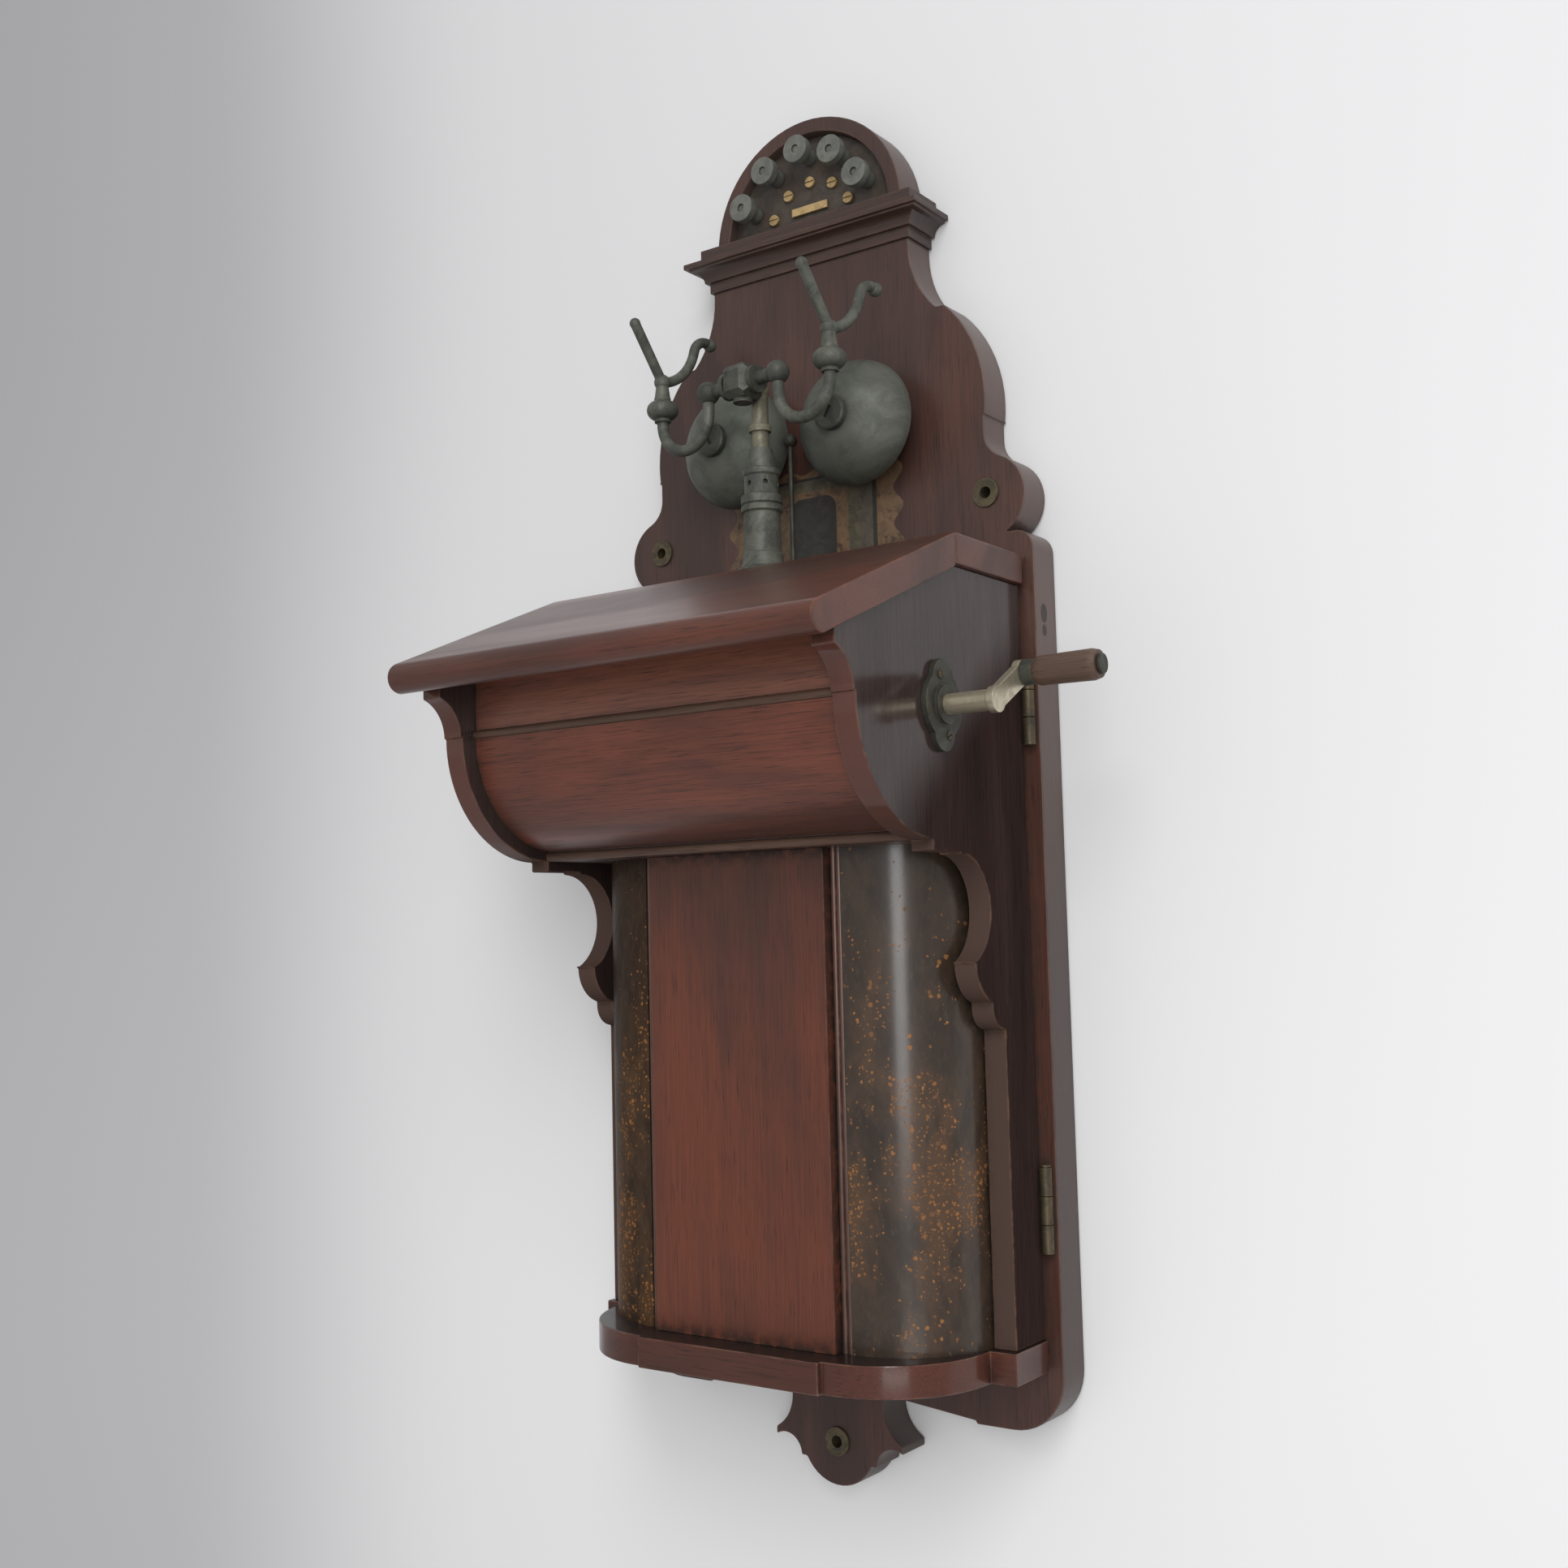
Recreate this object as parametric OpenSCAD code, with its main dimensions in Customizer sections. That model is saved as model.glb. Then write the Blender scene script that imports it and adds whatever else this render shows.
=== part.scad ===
// Wall telephone of the hand-cranked kind: a shaped backboard with gongs and line terminals, and a
// hinged case with a writing desk, a side crank with its magneto, and a sprung handset cradle.
// Millimetres. X runs to the right, Y into the wall, Z up. The origin lies on the wall face, midway
// between the two upper fixing holes. A depth is a distance from the wall towards the room.

/* [Backboard] */
// Thickness of the backboard
board_t = 22; // [16:0.5:28]
// Width of the backboard beside the case
board_w = 258; // [254:1:280]
// Distance between the two upper fixing holes
hole_span = 208; // [200:1:214]
// Diameter of the fixing holes
hole_d = 6; // [4:0.5:8]
// Radius of the ears round the upper fixing holes
ear_r = 21.5; // [19:0.5:24]
// Radius of the arched head
arch_r = 60; // [56:0.5:63]
// Height of the arch centre above the upper fixing holes
arch_up = 163.5; // [158:0.5:180]
// Width of the neck under the cornice
neck_w = 127; // [122:1:140]
// Distance from the base of the case down to the lower fixing hole
tail_drop = 49.5; // [44:0.5:60]

/* [Cornice] */
// Height of the cornice
cornice_h = 24.5; // [20:0.5:28]
// Overhang of the cornice past the neck
cornice_out = 12; // [8:0.5:16]

/* [Terminals] */
// Number of line terminals on the arch
terminal_count = 5; // [3:1:6]
// Distance from the edge of the arch to the row of terminals
terminal_inset = 19; // [17:0.5:22]
// Diameter of a terminal nut
nut_d = 15; // [10:0.5:17]
// Height of a terminal nut
nut_h = 6.5; // [4:0.5:9]
// Thickness of the terminal plate
plate_t = 3; // [2:0.5:5]
// Depth of the recess in the arch for the terminal plate
recess_depth = 9; // [6:0.5:12]

/* [Gongs] */
// Diameter of a gong
gong_d = 65; // [60:0.5:66]
// Height of a gong's dome
gong_h = 23.5; // [20:0.5:26]
// Wall of a gong
gong_wall = 1.8; // [1.2:0.1:2.5]
// Distance between the gong centres
gong_spacing = 76; // [75:0.5:84]
// Height of the gong centres above the upper fixing holes
gong_up = 45; // [40:0.5:56]
// Distance from the backboard to the gong rims
gong_stand = 13.8; // [10:0.2:18]
// Diameter of the slotted gong nuts
gong_nut_d = 18; // [14:0.5:24]

/* [Ringer] */
// Diameter of the clapper ball
clapper_ball_d = 7.4; // [5:0.2:8]
// Distance from the gong centres down to the clapper ball
ball_drop = 3.5; // [0:0.5:8]
// Distance of the clapper rod from the backboard
clapper_out = 20; // [19:0.5:23]
// Distance from the shelf down to the armature pivot of the ringer
ringer_drop = 18; // [14:0.5:24]
// Diameter of a ringer coil
coil_d = 18; // [14:0.5:20]
// Height of a ringer coil
coil_h = 30; // [24:0.5:36]
// Distance between the ringer coils
coil_spacing = 32; // [28:0.5:40]

/* [Case] */
// Width of the case over its side boards
case_w = 243; // [238:0.5:245]
// Thickness of the side boards
side_t = 12; // [9:0.5:15]
// Gap between the backboard and the case
case_gap = 3; // [2.8:0.1:5]
// Distance of the belly centre from the backboard
belly_out = 91; // [88:0.5:98]
// Radius of the belly of the side boards
belly_r = 60; // [55:0.5:64]
// Distance from the desk shelf down to the belly centre
belly_drop = 81.5; // [78:0.5:90]
// Set-back of the curved front behind the side boards
panel_inset = 9; // [5:0.5:12]
// Thickness of the front panels
panel_t = 8; // [5:0.5:10]
// Height of the lower front, from the base to the waist moulding
lower_h = 228; // [215:1:250]
// Distance of the lower front edge of the side boards from the backboard
stile_out = 31; // [27:0.5:36]
// Distance of the face of the centre panel from the backboard
front_out = 78; // [76:0.5:86]
// Width of the centre panel
front_w = 106; // [96:1:116]
// Width of the strip of beads beside the centre panel
bead_strip_w = 6.2; // [4:0.2:10]
// Radius of the rounded corner panels
corner_r = 49.5; // [40:0.5:52]
// Thickness of the sheet of the corner panels
corner_t = 4; // [2:0.5:6]
// Thickness of the base board
base_t = 15; // [10:0.5:20]
// Overhang of the base in front of the lower case
base_out = 15; // [8:0.5:20]

/* [Desk] */
// Width of the desk
desk_w = 249; // [245:0.5:249]
// Thickness of the desk boards
desk_t = 15; // [12:0.5:18]
// Distance from the upper fixing holes down to the desk shelf
desk_drop = 34.5; // [30:0.5:40]
// Distance of the ridge between shelf and slope from the backboard
ridge_out = 68; // [65:0.5:76]
// Distance of the rounded nose of the slope from the backboard
nose_out = 186.5; // [183:0.5:198]
// Slope of the desk in degrees
desk_slope = 22.4; // [18:0.2:26]

/* [Hinges] */
// Radius of the hinge knuckles
knuckle_r = 3; // [2.5:0.1:3.4]
// Length of a hinge
hinge_len = 40; // [30:1:50]
// Diameter of the hinge pins
hinge_pin_d = 2.4; // [1.6:0.1:3]
// Thickness of the hinge leaves
leaf_t = 1.2; // [0.8:0.1:1.3]

/* [Crank] */
// Distance of the crank shaft from the backboard
crank_out = 83; // [80:0.5:90]
// Diameter of the crank shaft
shaft_d = 9.6; // [7:0.2:11]
// Throw of the crank, from shaft to grip
crank_throw = 28.5; // [24:0.5:40]
// Angle of the crank above the level, towards the wall
crank_angle = 30; // [0:5:90]
// Distance from the side board to the crank arm
arm_out = 26.5; // [22:0.5:36]
// Diameter of the grip
grip_d = 14.3; // [11:0.1:18]
// Length of the grip
grip_len = 30.5; // [24:0.5:45]
// Width of the crank escutcheon
escutcheon_w = 31; // [28:0.5:36]
// Height of the crank escutcheon over its two lobes
escutcheon_h = 42; // [38:0.5:48]

/* [Magneto] */
// Tooth count of the drive gear
gear_teeth = 56; // [48:4:60]
// Tooth count of the armature pinion
pinion_teeth = 14; // [12:1:16]
// Tooth module of the gear pair
gear_module = 1; // [0.9:0.05:1.05]
// Width of the gear teeth
gear_t = 6; // [4:0.5:8]
// Diameter of the armature
armature_d = 27; // [22:0.5:29]
// Number of horseshoe magnets
magnet_count = 4; // [2:1:5]
// Width of one magnet
magnet_w = 14; // [8:0.5:14]
// Thickness of the magnet bar
magnet_t = 10; // [6:0.5:12]

/* [Cradle] */
// Distance of the cradle pillar from the backboard
pillar_out = 46.6; // [45:0.2:50]
// Diameter of the shank of the pillar
pillar_d = 19; // [17.5:0.5:22]
// Height of the pillar
pillar_h = 65.5; // [62:0.5:74]
// Diameter of the sliding plunger
plunger_d = 8.8; // [7:0.2:9.4]
// Travel of the cradle
hook_travel = 6; // [3:0.5:7]
// Height of the crosshead above the desk shelf
crosshead_up = 97.7; // [95:0.5:106]
// Distance of the crosshead in front of the pillar
crosshead_lead = 12.5; // [10:0.5:16]
// Distance between the balls of the crosshead
ball_spacing = 48.4; // [44:0.2:56]
// Distance between the forks
fork_spacing = 116.4; // [108:0.2:126]
// Diameter of the bent rods of the cradle
rod_d = 6; // [4.6:0.2:7]
// Dip of the bent arms below the crosshead
arm_dip = 26.5; // [24:0.5:30]
// Reach of the front horns
horn_front = 19; // [14:0.5:26]
// Height of the front horns
horn_up = 27.5; // [20:0.5:34]
// Turn of the cradle about its pillar in degrees
cradle_turn = -6.5; // [-10:0.5:10]

/* [Batteries and coil] */
// Diameter of a dry cell
cell_d = 58; // [48:0.5:60]
// Height of a dry cell
cell_h = 150; // [120:1:170]
// Length of the induction coil
induction_len = 66; // [50:1:72]
// Diameter of the induction coil winding
induction_d = 22; // [16:0.5:26]

/* [Hidden] */
$fn = 48;

// Clearances
run_fit = 0.05;      // radial clearance of a running shaft
seat_gap = 0.1;      // radial clearance of a fixed round seat
free_gap = 0.4;      // clearance between moving faces
cut = 1;             // overshoot of a cutting tool

// Main levels and depths
desk_z = -desk_drop;
shelf_z = desk_z - desk_t;
belly_z = desk_z - belly_drop;
waist_z = belly_z - belly_r;
strip_h = 5;
front_top_z = waist_z - strip_h;
base_z = front_top_z - lower_h;
foot_z = base_z - base_t;
low_hole_z = foot_z - tail_drop;
arch_z = arch_up;
cornice_z = arch_z - cornice_h + 2.5;
gong_z = gong_up;
case_back = board_t + case_gap;
clapper_depth = board_t + clapper_out;
belly_depth = board_t + belly_out;
stile_depth = board_t + stile_out;
front_depth = board_t + front_out;
ridge_depth = board_t + ridge_out;
nose_depth = board_t + nose_out;
crank_depth = board_t + crank_out;
pillar_depth = board_t + pillar_out;
terminal_ring_r = arch_r - terminal_inset;
case_hw = case_w / 2;
inner_hw = case_hw - side_t;
board_hw = board_w / 2;
neck_hw = neck_w / 2;
hole_hw = hole_span / 2;
front_hw = front_w / 2;
desk_hw = desk_w / 2;

// Outline of the backboard
scotia_r = 52;
shoulder_z = desk_z + 13.5;
shoulder_r = 10;
scotia_foot_z = 101.5;
scotia_step = 2.3;
lobe_r = 71;
lobe_z = 50;
lobe_step_z = 40;
lobe_step = 2;
ear_fillet_r = 14;
ear_drop = 2;
foot_lobe_r = 28;
foot_drop = 30;
foot_step = 81;
foot_nick = 1.5;
foot_rise = 7;
tail_r = 22;
tail_neck_hw = 28;
tail_neck_r = 20;
tail_cusp_hw = 38.5;
tail_scoop_r = 10;
eyelet_wall = 1;
eyelet_flange = 3.2;
eyelet_flange_t = 1.2;

// Outline of the side boards
lip_out = 15;
lip_cove_r = 19;
lip_step = 1.2;
cove_neck = 10.2;
cove_r = 25.5;
cusp_angle = 70;
scallop_r = 19;
scallop_foot_r = 11;
scallop_step = 1.5;
cusp_lip = 1.4;
lip_depth = belly_depth + belly_r + lip_out;
cove_depth = stile_depth + cove_neck + cove_r;
cove_z = front_top_z - cove_r - 1;
cusp_depth = cove_depth - cove_r * cos(cusp_angle);
cusp_z = cove_z - cove_r * sin(cusp_angle);
scallop_foot_z = cusp_z - scallop_r - scallop_step;

// Curved front of the case
bulge_r = belly_r - panel_inset;
bulge_face = belly_depth + bulge_r;
bead_h = 4;
bead_z = belly_z + bead_h;
floor_t = panel_inset;
floor_z = waist_z + floor_t;
corner_gap = 0.3;
corner_land = 0.5;
corner_tuck = 8;
corner_side_x = inner_hw - corner_gap;
corner_start_x = front_hw + bead_strip_w;
corner_round = min(corner_r, corner_side_x - corner_start_x - corner_land);
corner_x = corner_side_x - corner_round;
bead_set_back = 5;
bead_back = 10;
bead_front = front_depth - bead_set_back;
corner_depth = bead_front - corner_round;
plinth_out = 1.5;
plinth_lead = 4;
plinth_depth = stile_depth + plinth_lead;
base_notch = 3.5;
base_step = 3;
base_face = front_depth + base_out;
base_round_x = front_hw + base_notch;
base_round_r = inner_hw - base_round_x;
base_round_depth = base_face - base_step - base_round_r;

// Clapper and ringer
pivot_z = shelf_z - ringer_drop;
pivot_pin_r = 1.5;
pivot_head_r = 3;
pivot_head_t = 2.5;
hub_r = 4.5;
hub_len = 12;
ball_z = gong_z - ball_drop;
rod_r = 1.3;
notch_hw = 9;
notch_depth = clapper_depth + 8;
armature_bar_t = 4.5;
armature_bar_hw = coil_spacing / 2 + 7;
core_r = 4;
core_gap = 1.6;
coil_top_z = pivot_z - armature_bar_t / 2 - core_gap - 2;
coil_foot_z = coil_top_z - coil_h;
yoke_t = 6;
ringer_plate_t = 2.5;
ringer_plate_hw = coil_spacing / 2 + coil_d / 2 + 3;

// Terminals
stud_r = 2;
stud_sink = 1.2;
plate_back = board_t - recess_depth;
plate_front = plate_back + plate_t;
head_plate_r = arch_r - 8;
head_sill_z = cornice_z + cornice_h;
nut_shank_r = 4.5;
nut_seat = plate_front + 9;
arrester_ring_r = terminal_ring_r - 14;
arrester_r = 1.4;
arrester_head_r = 3;
arrester_head_h = 2;

// Gongs
gong_r = gong_d / 2;
gong_knuckle = 16;
gong_rim = board_t + gong_stand;
gong_hole_r = 3.2;
gong_stud_r = gong_hole_r - 0.2;
gong_post_r = 6;
gong_nut_t = 4;
gong_bore = 12;

// Hinges
hinge_x = case_hw + knuckle_r + 0.3;
hinge_depth = board_t + knuckle_r + 0.2;
hinge_leaf_w = 13;
hinge_zs = [belly_z + 8, base_z + 60];
hinge_pin_r = hinge_pin_d / 2;
knuckle_len = hinge_len / 3;
case_leaf_t = min(leaf_t, case_gap - leaf_t - free_gap);

// Crank and magneto
crank_z = belly_z;
shaft_r = shaft_d / 2;
gear_r = gear_module * gear_teeth / 2;
pinion_r = gear_module * pinion_teeth / 2;
mesh_gap = 0.25;
mesh_angle = 42;
mesh_tooth = mesh_angle - 90;
mesh_span = gear_r + pinion_r + mesh_gap;
armature_z = crank_z - mesh_span * cos(mesh_angle);
armature_depth = crank_depth - mesh_span * sin(mesh_angle);
armature_r = armature_d / 2;
air_gap = 0.6;
pole_hw = armature_r + 4.5;
pole_slot = 6;
magnet_hw = pole_hw + magnet_t;
magnet_gap = 3;
magnets_len = magnet_count * magnet_w + (magnet_count - 1) * magnet_gap;
magnets_x0 = -14;
magnets_x1 = magnets_x0 + magnets_len;
magnet_top_z = armature_z + 31;
end_plate_t = 3;
shaft_boss_r = shaft_r + 4;
bearing_r = 3;
gear_x = magnets_x1 + 2 * end_plate_t + 7;
gear_hub_r = shaft_r + 5;
shaft_end_x = magnets_x1 + end_plate_t / 2;
arm_x = case_hw + arm_out;
arm_t = 4;
arm_w = 10;
arm_boss = 1;
grip_y = -crank_depth + crank_throw * cos(crank_angle);
grip_z = crank_z + crank_throw * sin(crank_angle);
grip_pin_r = 2.5;
ferrule_len = 6;
grip_x = arm_x + arm_t + ferrule_len + free_gap;
escutcheon_t = 3;
escutcheon_lobe_r = 8.5;
escutcheon_boss_r = shaft_r + 4;
escutcheon_boss_h = 5;

// Cradle
plunger_r = plunger_d / 2;
pillar_r = pillar_d / 2;
pillar_top_z = desk_z + pillar_h;
head_z = desk_z + crosshead_up;
head_size = 17;
head_chamfer = 3.4;
rod_half = rod_d / 2;
ball_r = 6;
ball_flat = sqrt(ball_r * ball_r - rod_half * rod_half);
ball_x = ball_spacing / 2;
fork_x = fork_spacing / 2;
bend_r = (fork_x - ball_x) / 2;
bend_x = (fork_x + ball_x) / 2;
bend_z = head_z - arm_dip + bend_r;
knob_r = 8.4;
knob_h = 13;
knob_z = head_z - 1.5;
stem_z = knob_z + knob_h / 2;
crotch_z = knob_z + 15.3;
horn_turn_in = 10;
horn_turn_up = 75;
horn_turn_out = -20;
horn_sweep_r = 31;
horn_hook_r = 9.4;
horn_tip_r = 3.6;
spring_bore_r = 7.2;
spring_r = 5.6;
spring_wire_r = 0.6;
spring_turns = 7;
collar_r = 6.6;
collar_t = 3;
collar_z = pillar_top_z - 12 - hook_travel;
plunger_foot_z = shelf_z - 8;
plunger_step_z = shelf_z - 3;
plunger_tip_r = 1.5;
elbow_drop = 2;
lever_arm = 20;
lever_t = 3;
lever_w = 8;
lever_pin_r = 1.5;
lever_z = plunger_foot_z - 0.3 - lever_t / 2;
block_w = 20;
block_l = 17;
block_h = 18;
blade_drop = 12;
blade_step = 3;

// Coordinates helpers

// Extrudes a (depth, height) profile along X between two places.
module profile_x(x0, x1) {
  translate([x1, 0, 0])
    rotate([90, 0, -90])
      linear_extrude(x1 - x0)
        children();
}

// Extrudes an (x, height) outline from one depth to another.
module outline_front(depth0, depth1) {
  translate([0, -depth0, 0])
    rotate([90, 0, 0])
      linear_extrude(depth1 - depth0)
        children();
}

// Extrudes an (x, depth) plan upwards.
module plan_up(z0, z1) {
  translate([0, 0, z0])
    mirror([0, 1, 0])
      linear_extrude(z1 - z0)
        children();
}

// Box between two corners given as x, depth and height.
module block(x0, x1, depth0, depth1, z0, z1) {
  translate([x0, -depth1, z0])
    cube([x1 - x0, depth1 - depth0, z1 - z0]);
}

// Round bar along X.
module bar_x(x0, x1, depth, z, r) {
  translate([x0, -depth, z])
    rotate([0, 90, 0])
      cylinder(h = x1 - x0, r = r);
}

// Round bar along Y, from one depth to another.
module bar_y(x, depth0, depth1, z, r) {
  translate([x, -depth0, z])
    rotate([90, 0, 0])
      cylinder(h = depth1 - depth0, r = r);
}

// Upright round bar.
module bar_z(x, depth, z0, z1, r) {
  translate([x, -depth, z0])
    cylinder(h = z1 - z0, r = r);
}

// The same shape on the right and, mirrored, on the left.
module both_sides() {
  children();
  mirror([1, 0, 0])
    children();
}

// Height of the underside of the sloping desk at a depth.
function under_z(depth) = desk_z - desk_t / cos(desk_slope) - (depth - ridge_depth) * tan(desk_slope);

// Backboard and what it carries

// Right half of the upper, scrolled part of the backboard.
module upper_outline() {
  lobe_x = neck_hw + 17.5 + scotia_step - sqrt(lobe_r * lobe_r - pow(scotia_foot_z - lobe_z, 2));
  fillet_up = sqrt(pow(ear_r + ear_fillet_r, 2) - pow(ear_fillet_r, 2));
  translate([-cut, scotia_foot_z - cut])
    square([neck_hw + cut, arch_z - scotia_foot_z + cut]);
  difference() {
    translate([0, scotia_foot_z])
      square([neck_hw + 15, scotia_r * 0.7]);
    translate([neck_hw + scotia_r, scotia_foot_z + scotia_r * 0.7])
      circle(scotia_r);
  }
  intersection() {
    translate([lobe_x, lobe_z])
      circle(lobe_r);
    translate([0, lobe_step_z])
      square([lobe_x + lobe_r, scotia_foot_z - lobe_step_z]);
  }
  translate([-cut, shoulder_z - cut])
    square([hole_hw + cut, lobe_step_z - shoulder_z + 2 * cut]);
  translate([hole_hw, -ear_drop])
    circle(ear_r);
  difference() {
    translate([hole_hw - cut, 0])
      square([ear_fillet_r * 0.6 + cut, fillet_up - ear_drop]);
    translate([hole_hw + ear_fillet_r, fillet_up - ear_drop])
      circle(ear_fillet_r);
  }
}

// Right half of the straight middle and the lower lobes of the backboard.
module lower_outline() {
  bottom_z = foot_z - foot_drop;
  translate([-cut, bottom_z + foot_lobe_r])
    square([board_hw + cut, shoulder_z - shoulder_r - bottom_z - foot_lobe_r]);
  translate([-cut, shoulder_z - shoulder_r - cut])
    square([board_hw - shoulder_r + cut, shoulder_r + cut]);
  translate([board_hw - shoulder_r, shoulder_z - shoulder_r])
    circle(shoulder_r);
  translate([board_hw - foot_lobe_r, bottom_z + foot_lobe_r])
    circle(foot_lobe_r);
  polygon([
    [-cut, bottom_z + foot_lobe_r + cut], [board_hw - foot_lobe_r, bottom_z + foot_lobe_r + cut],
    [board_hw - foot_lobe_r, bottom_z], [foot_step, bottom_z], [foot_step, bottom_z + foot_nick],
    [tail_neck_hw, bottom_z + foot_rise], [-cut, bottom_z + foot_rise]
  ]);
}

// Right half of the tail with the lower fixing hole.
module tail_outline() {
  neck_z = low_hole_z + tail_neck_r;
  translate([0, low_hole_z])
    circle(tail_r);
  difference() {
    translate([-cut, low_hole_z - tail_scoop_r])
      square([tail_cusp_hw + cut, foot_z - low_hole_z]);
    translate([tail_neck_hw + tail_neck_r, neck_z])
      circle(tail_neck_r);
    translate([tail_r + tail_scoop_r + 1, low_hole_z - tail_scoop_r])
      circle(tail_scoop_r);
  }
}

// Cuts the three fixing holes to a radius.
module fixing_holes(r) {
  for (p = [[-hole_hw, 0], [hole_hw, 0], [0, low_hole_z]])
    bar_y(p[0], -cut, board_t + cut, p[1], r);
}

module backboard() {
  color("#4a3330")
    difference() {
      union() {
        outline_front(0, board_t)
          translate([0, arch_z])
            circle(arch_r, $fn = 96);
        both_sides() {
          outline_front(0, board_t)
            upper_outline();
          outline_front(0, board_t)
            lower_outline();
          outline_front(0, board_t)
            tail_outline();
        }
      }
      fixing_holes(hole_d / 2 + eyelet_wall + seat_gap);
      outline_front(plate_back, board_t + cut)
        head_field(head_plate_r + seat_gap, head_sill_z - seat_gap);
    }
}

// Cornice of stacked mouldings that returns round both sides of the neck.
module cornice() {
  bed_h = 5.6;
  corona_h = 3;
  cap_h = 8.4;
  bed_out = 1.5;
  cove_out = cornice_out - 2;
  cap_out = cornice_out - 7;
  corona_z = cornice_z + cornice_h - cap_h - corona_h;
  cove_h = corona_z - cornice_z - bed_h;
  color("#5a3a34")
    difference() {
      union() {
        block(-neck_hw - bed_out, neck_hw + bed_out, 0, board_t + bed_out, cornice_z, cornice_z + bed_h);
        difference() {
          block(-neck_hw - cove_out, neck_hw + cove_out, 0, board_t + cove_out,
                cornice_z + bed_h, corona_z);
          bar_x(-board_w, board_w, board_t + cove_out, cornice_z + bed_h, cove_h * 0.85);
          both_sides()
            bar_y(neck_hw + cove_out, -cut, board_w, cornice_z + bed_h, cove_h * 0.85);
        }
        block(-neck_hw - cornice_out, neck_hw + cornice_out, 0, board_t + cornice_out,
              corona_z, corona_z + corona_h);
        block(-neck_hw - cap_out, neck_hw + cap_out, 0, board_t + cap_out,
              corona_z + corona_h, cornice_z + cornice_h);
      }
      block(-neck_hw, neck_hw, -cut, board_t, cornice_z - cut, cornice_z + cornice_h + cut);
    }
}

module fixing_eyelets() {
  tube_r = hole_d / 2 + eyelet_wall;
  color("#7a6a45")
    for (p = [[-hole_hw, 0], [hole_hw, 0], [0, low_hole_z]])
      difference() {
        union() {
          bar_y(p[0], 0, board_t, p[1], tube_r);
          bar_y(p[0], board_t, board_t + eyelet_flange_t, p[1], tube_r + eyelet_flange);
        }
        bar_y(p[0], -cut, board_t + eyelet_flange_t + cut, p[1], hole_d / 2);
      }
}

// Places a shape at each terminal on a circle round the arch centre.
module at_terminals(r) {
  for (i = [0 : terminal_count - 1]) {
    a = 90 + (i - (terminal_count - 1) / 2) * 128 / (terminal_count - 1);
    translate([r * cos(a), 0, arch_z + r * sin(a)])
      children();
  }
}

// Disc round the arch centre, cut off level at a foot height.
module head_field(r, foot_z) {
  translate([0, arch_z])
    difference() {
      circle(r, $fn = 96);
      translate([-arch_r, foot_z - arch_z - 2 * arch_r])
        square(2 * arch_r);
    }
}

// Insulating plate sunk in the arch.
module terminal_plate() {
  color("#2d2a28")
    difference() {
      outline_front(plate_back, plate_front)
        head_field(head_plate_r, head_sill_z);
      at_terminals(terminal_ring_r)
        bar_y(0, plate_back - cut, plate_front + cut, 0, stud_r + seat_gap);
      at_terminals(arrester_ring_r)
        bar_y(0, plate_back - cut, plate_front + cut, 0, arrester_r + seat_gap);
    }
}

module terminal_studs() {
  color("#6b6a5c")
    at_terminals(terminal_ring_r)
      bar_y(0, plate_back, nut_seat + nut_h - stud_sink, 0, stud_r);
}

// Round thumb nuts on tall shanks, with a thin flange under the head.
module terminal_nuts() {
  flange_t = 1.4;
  flange_r = nut_d / 2 - 1.2;
  color("#5d625c")
    at_terminals(terminal_ring_r)
      difference() {
        union() {
          bar_y(0, plate_front, nut_seat, 0, nut_shank_r);
          bar_y(0, nut_seat, nut_seat + flange_t, 0, flange_r);
          bar_y(0, nut_seat + flange_t, nut_seat + nut_h, 0, nut_d / 2);
        }
        bar_y(0, plate_front - cut, nut_seat + nut_h + cut, 0, stud_r + seat_gap);
      }
}

module arrester_screws() {
  head_front = plate_front + arrester_head_h;
  slot_hw = 0.45;
  slot_depth = 0.8;
  color("#a98a52")
    at_terminals(arrester_ring_r)
      difference() {
        union() {
          bar_y(0, plate_back, plate_front, 0, arrester_r);
          bar_y(0, plate_front, head_front, 0, arrester_head_r);
        }
        block(-arrester_head_r - cut, arrester_head_r + cut, head_front - slot_depth, head_front + cut,
              -slot_hw, slot_hw);
      }
}

module earth_bar() {
  bar_foot = head_sill_z + 7.6;
  bar_h = 4.4;
  bar_t = 2;
  color("#b08f58")
    block(-12, 11, plate_front, plate_front + bar_t, bar_foot, bar_foot + bar_h);
}

// Half section of a dished dome: a large crown circle blended into a rim circle.
module dome_section(r, h, k) {
  crown_r = (pow(r - k, 2) + h * h - k * k) / (2 * (h - k));
  blend_x = (r - k) * crown_r / (crown_r - k);
  intersection() {
    translate([0, h - crown_r])
      circle(crown_r, $fn = 96);
    square([blend_x, h + cut]);
  }
  intersection() {
    translate([r - k, 0])
      circle(k, $fn = 96);
    square([r + cut, h + cut]);
  }
}

// One gong: a thin dished shell with its nut hole, opening towards the wall.
module gong(x) {
  color("#5f665f")
    translate([x, -gong_rim, gong_z])
      rotate([90, 0, 0])
        rotate_extrude()
          difference() {
            dome_section(gong_r, gong_h, gong_knuckle);
            dome_section(gong_r - gong_wall, gong_h - gong_wall, gong_knuckle - gong_wall);
            square([gong_hole_r, gong_h + cut]);
          }
}

module gong_left() {
  gong(-gong_spacing / 2);
}

module gong_right() {
  gong(gong_spacing / 2);
}

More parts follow.
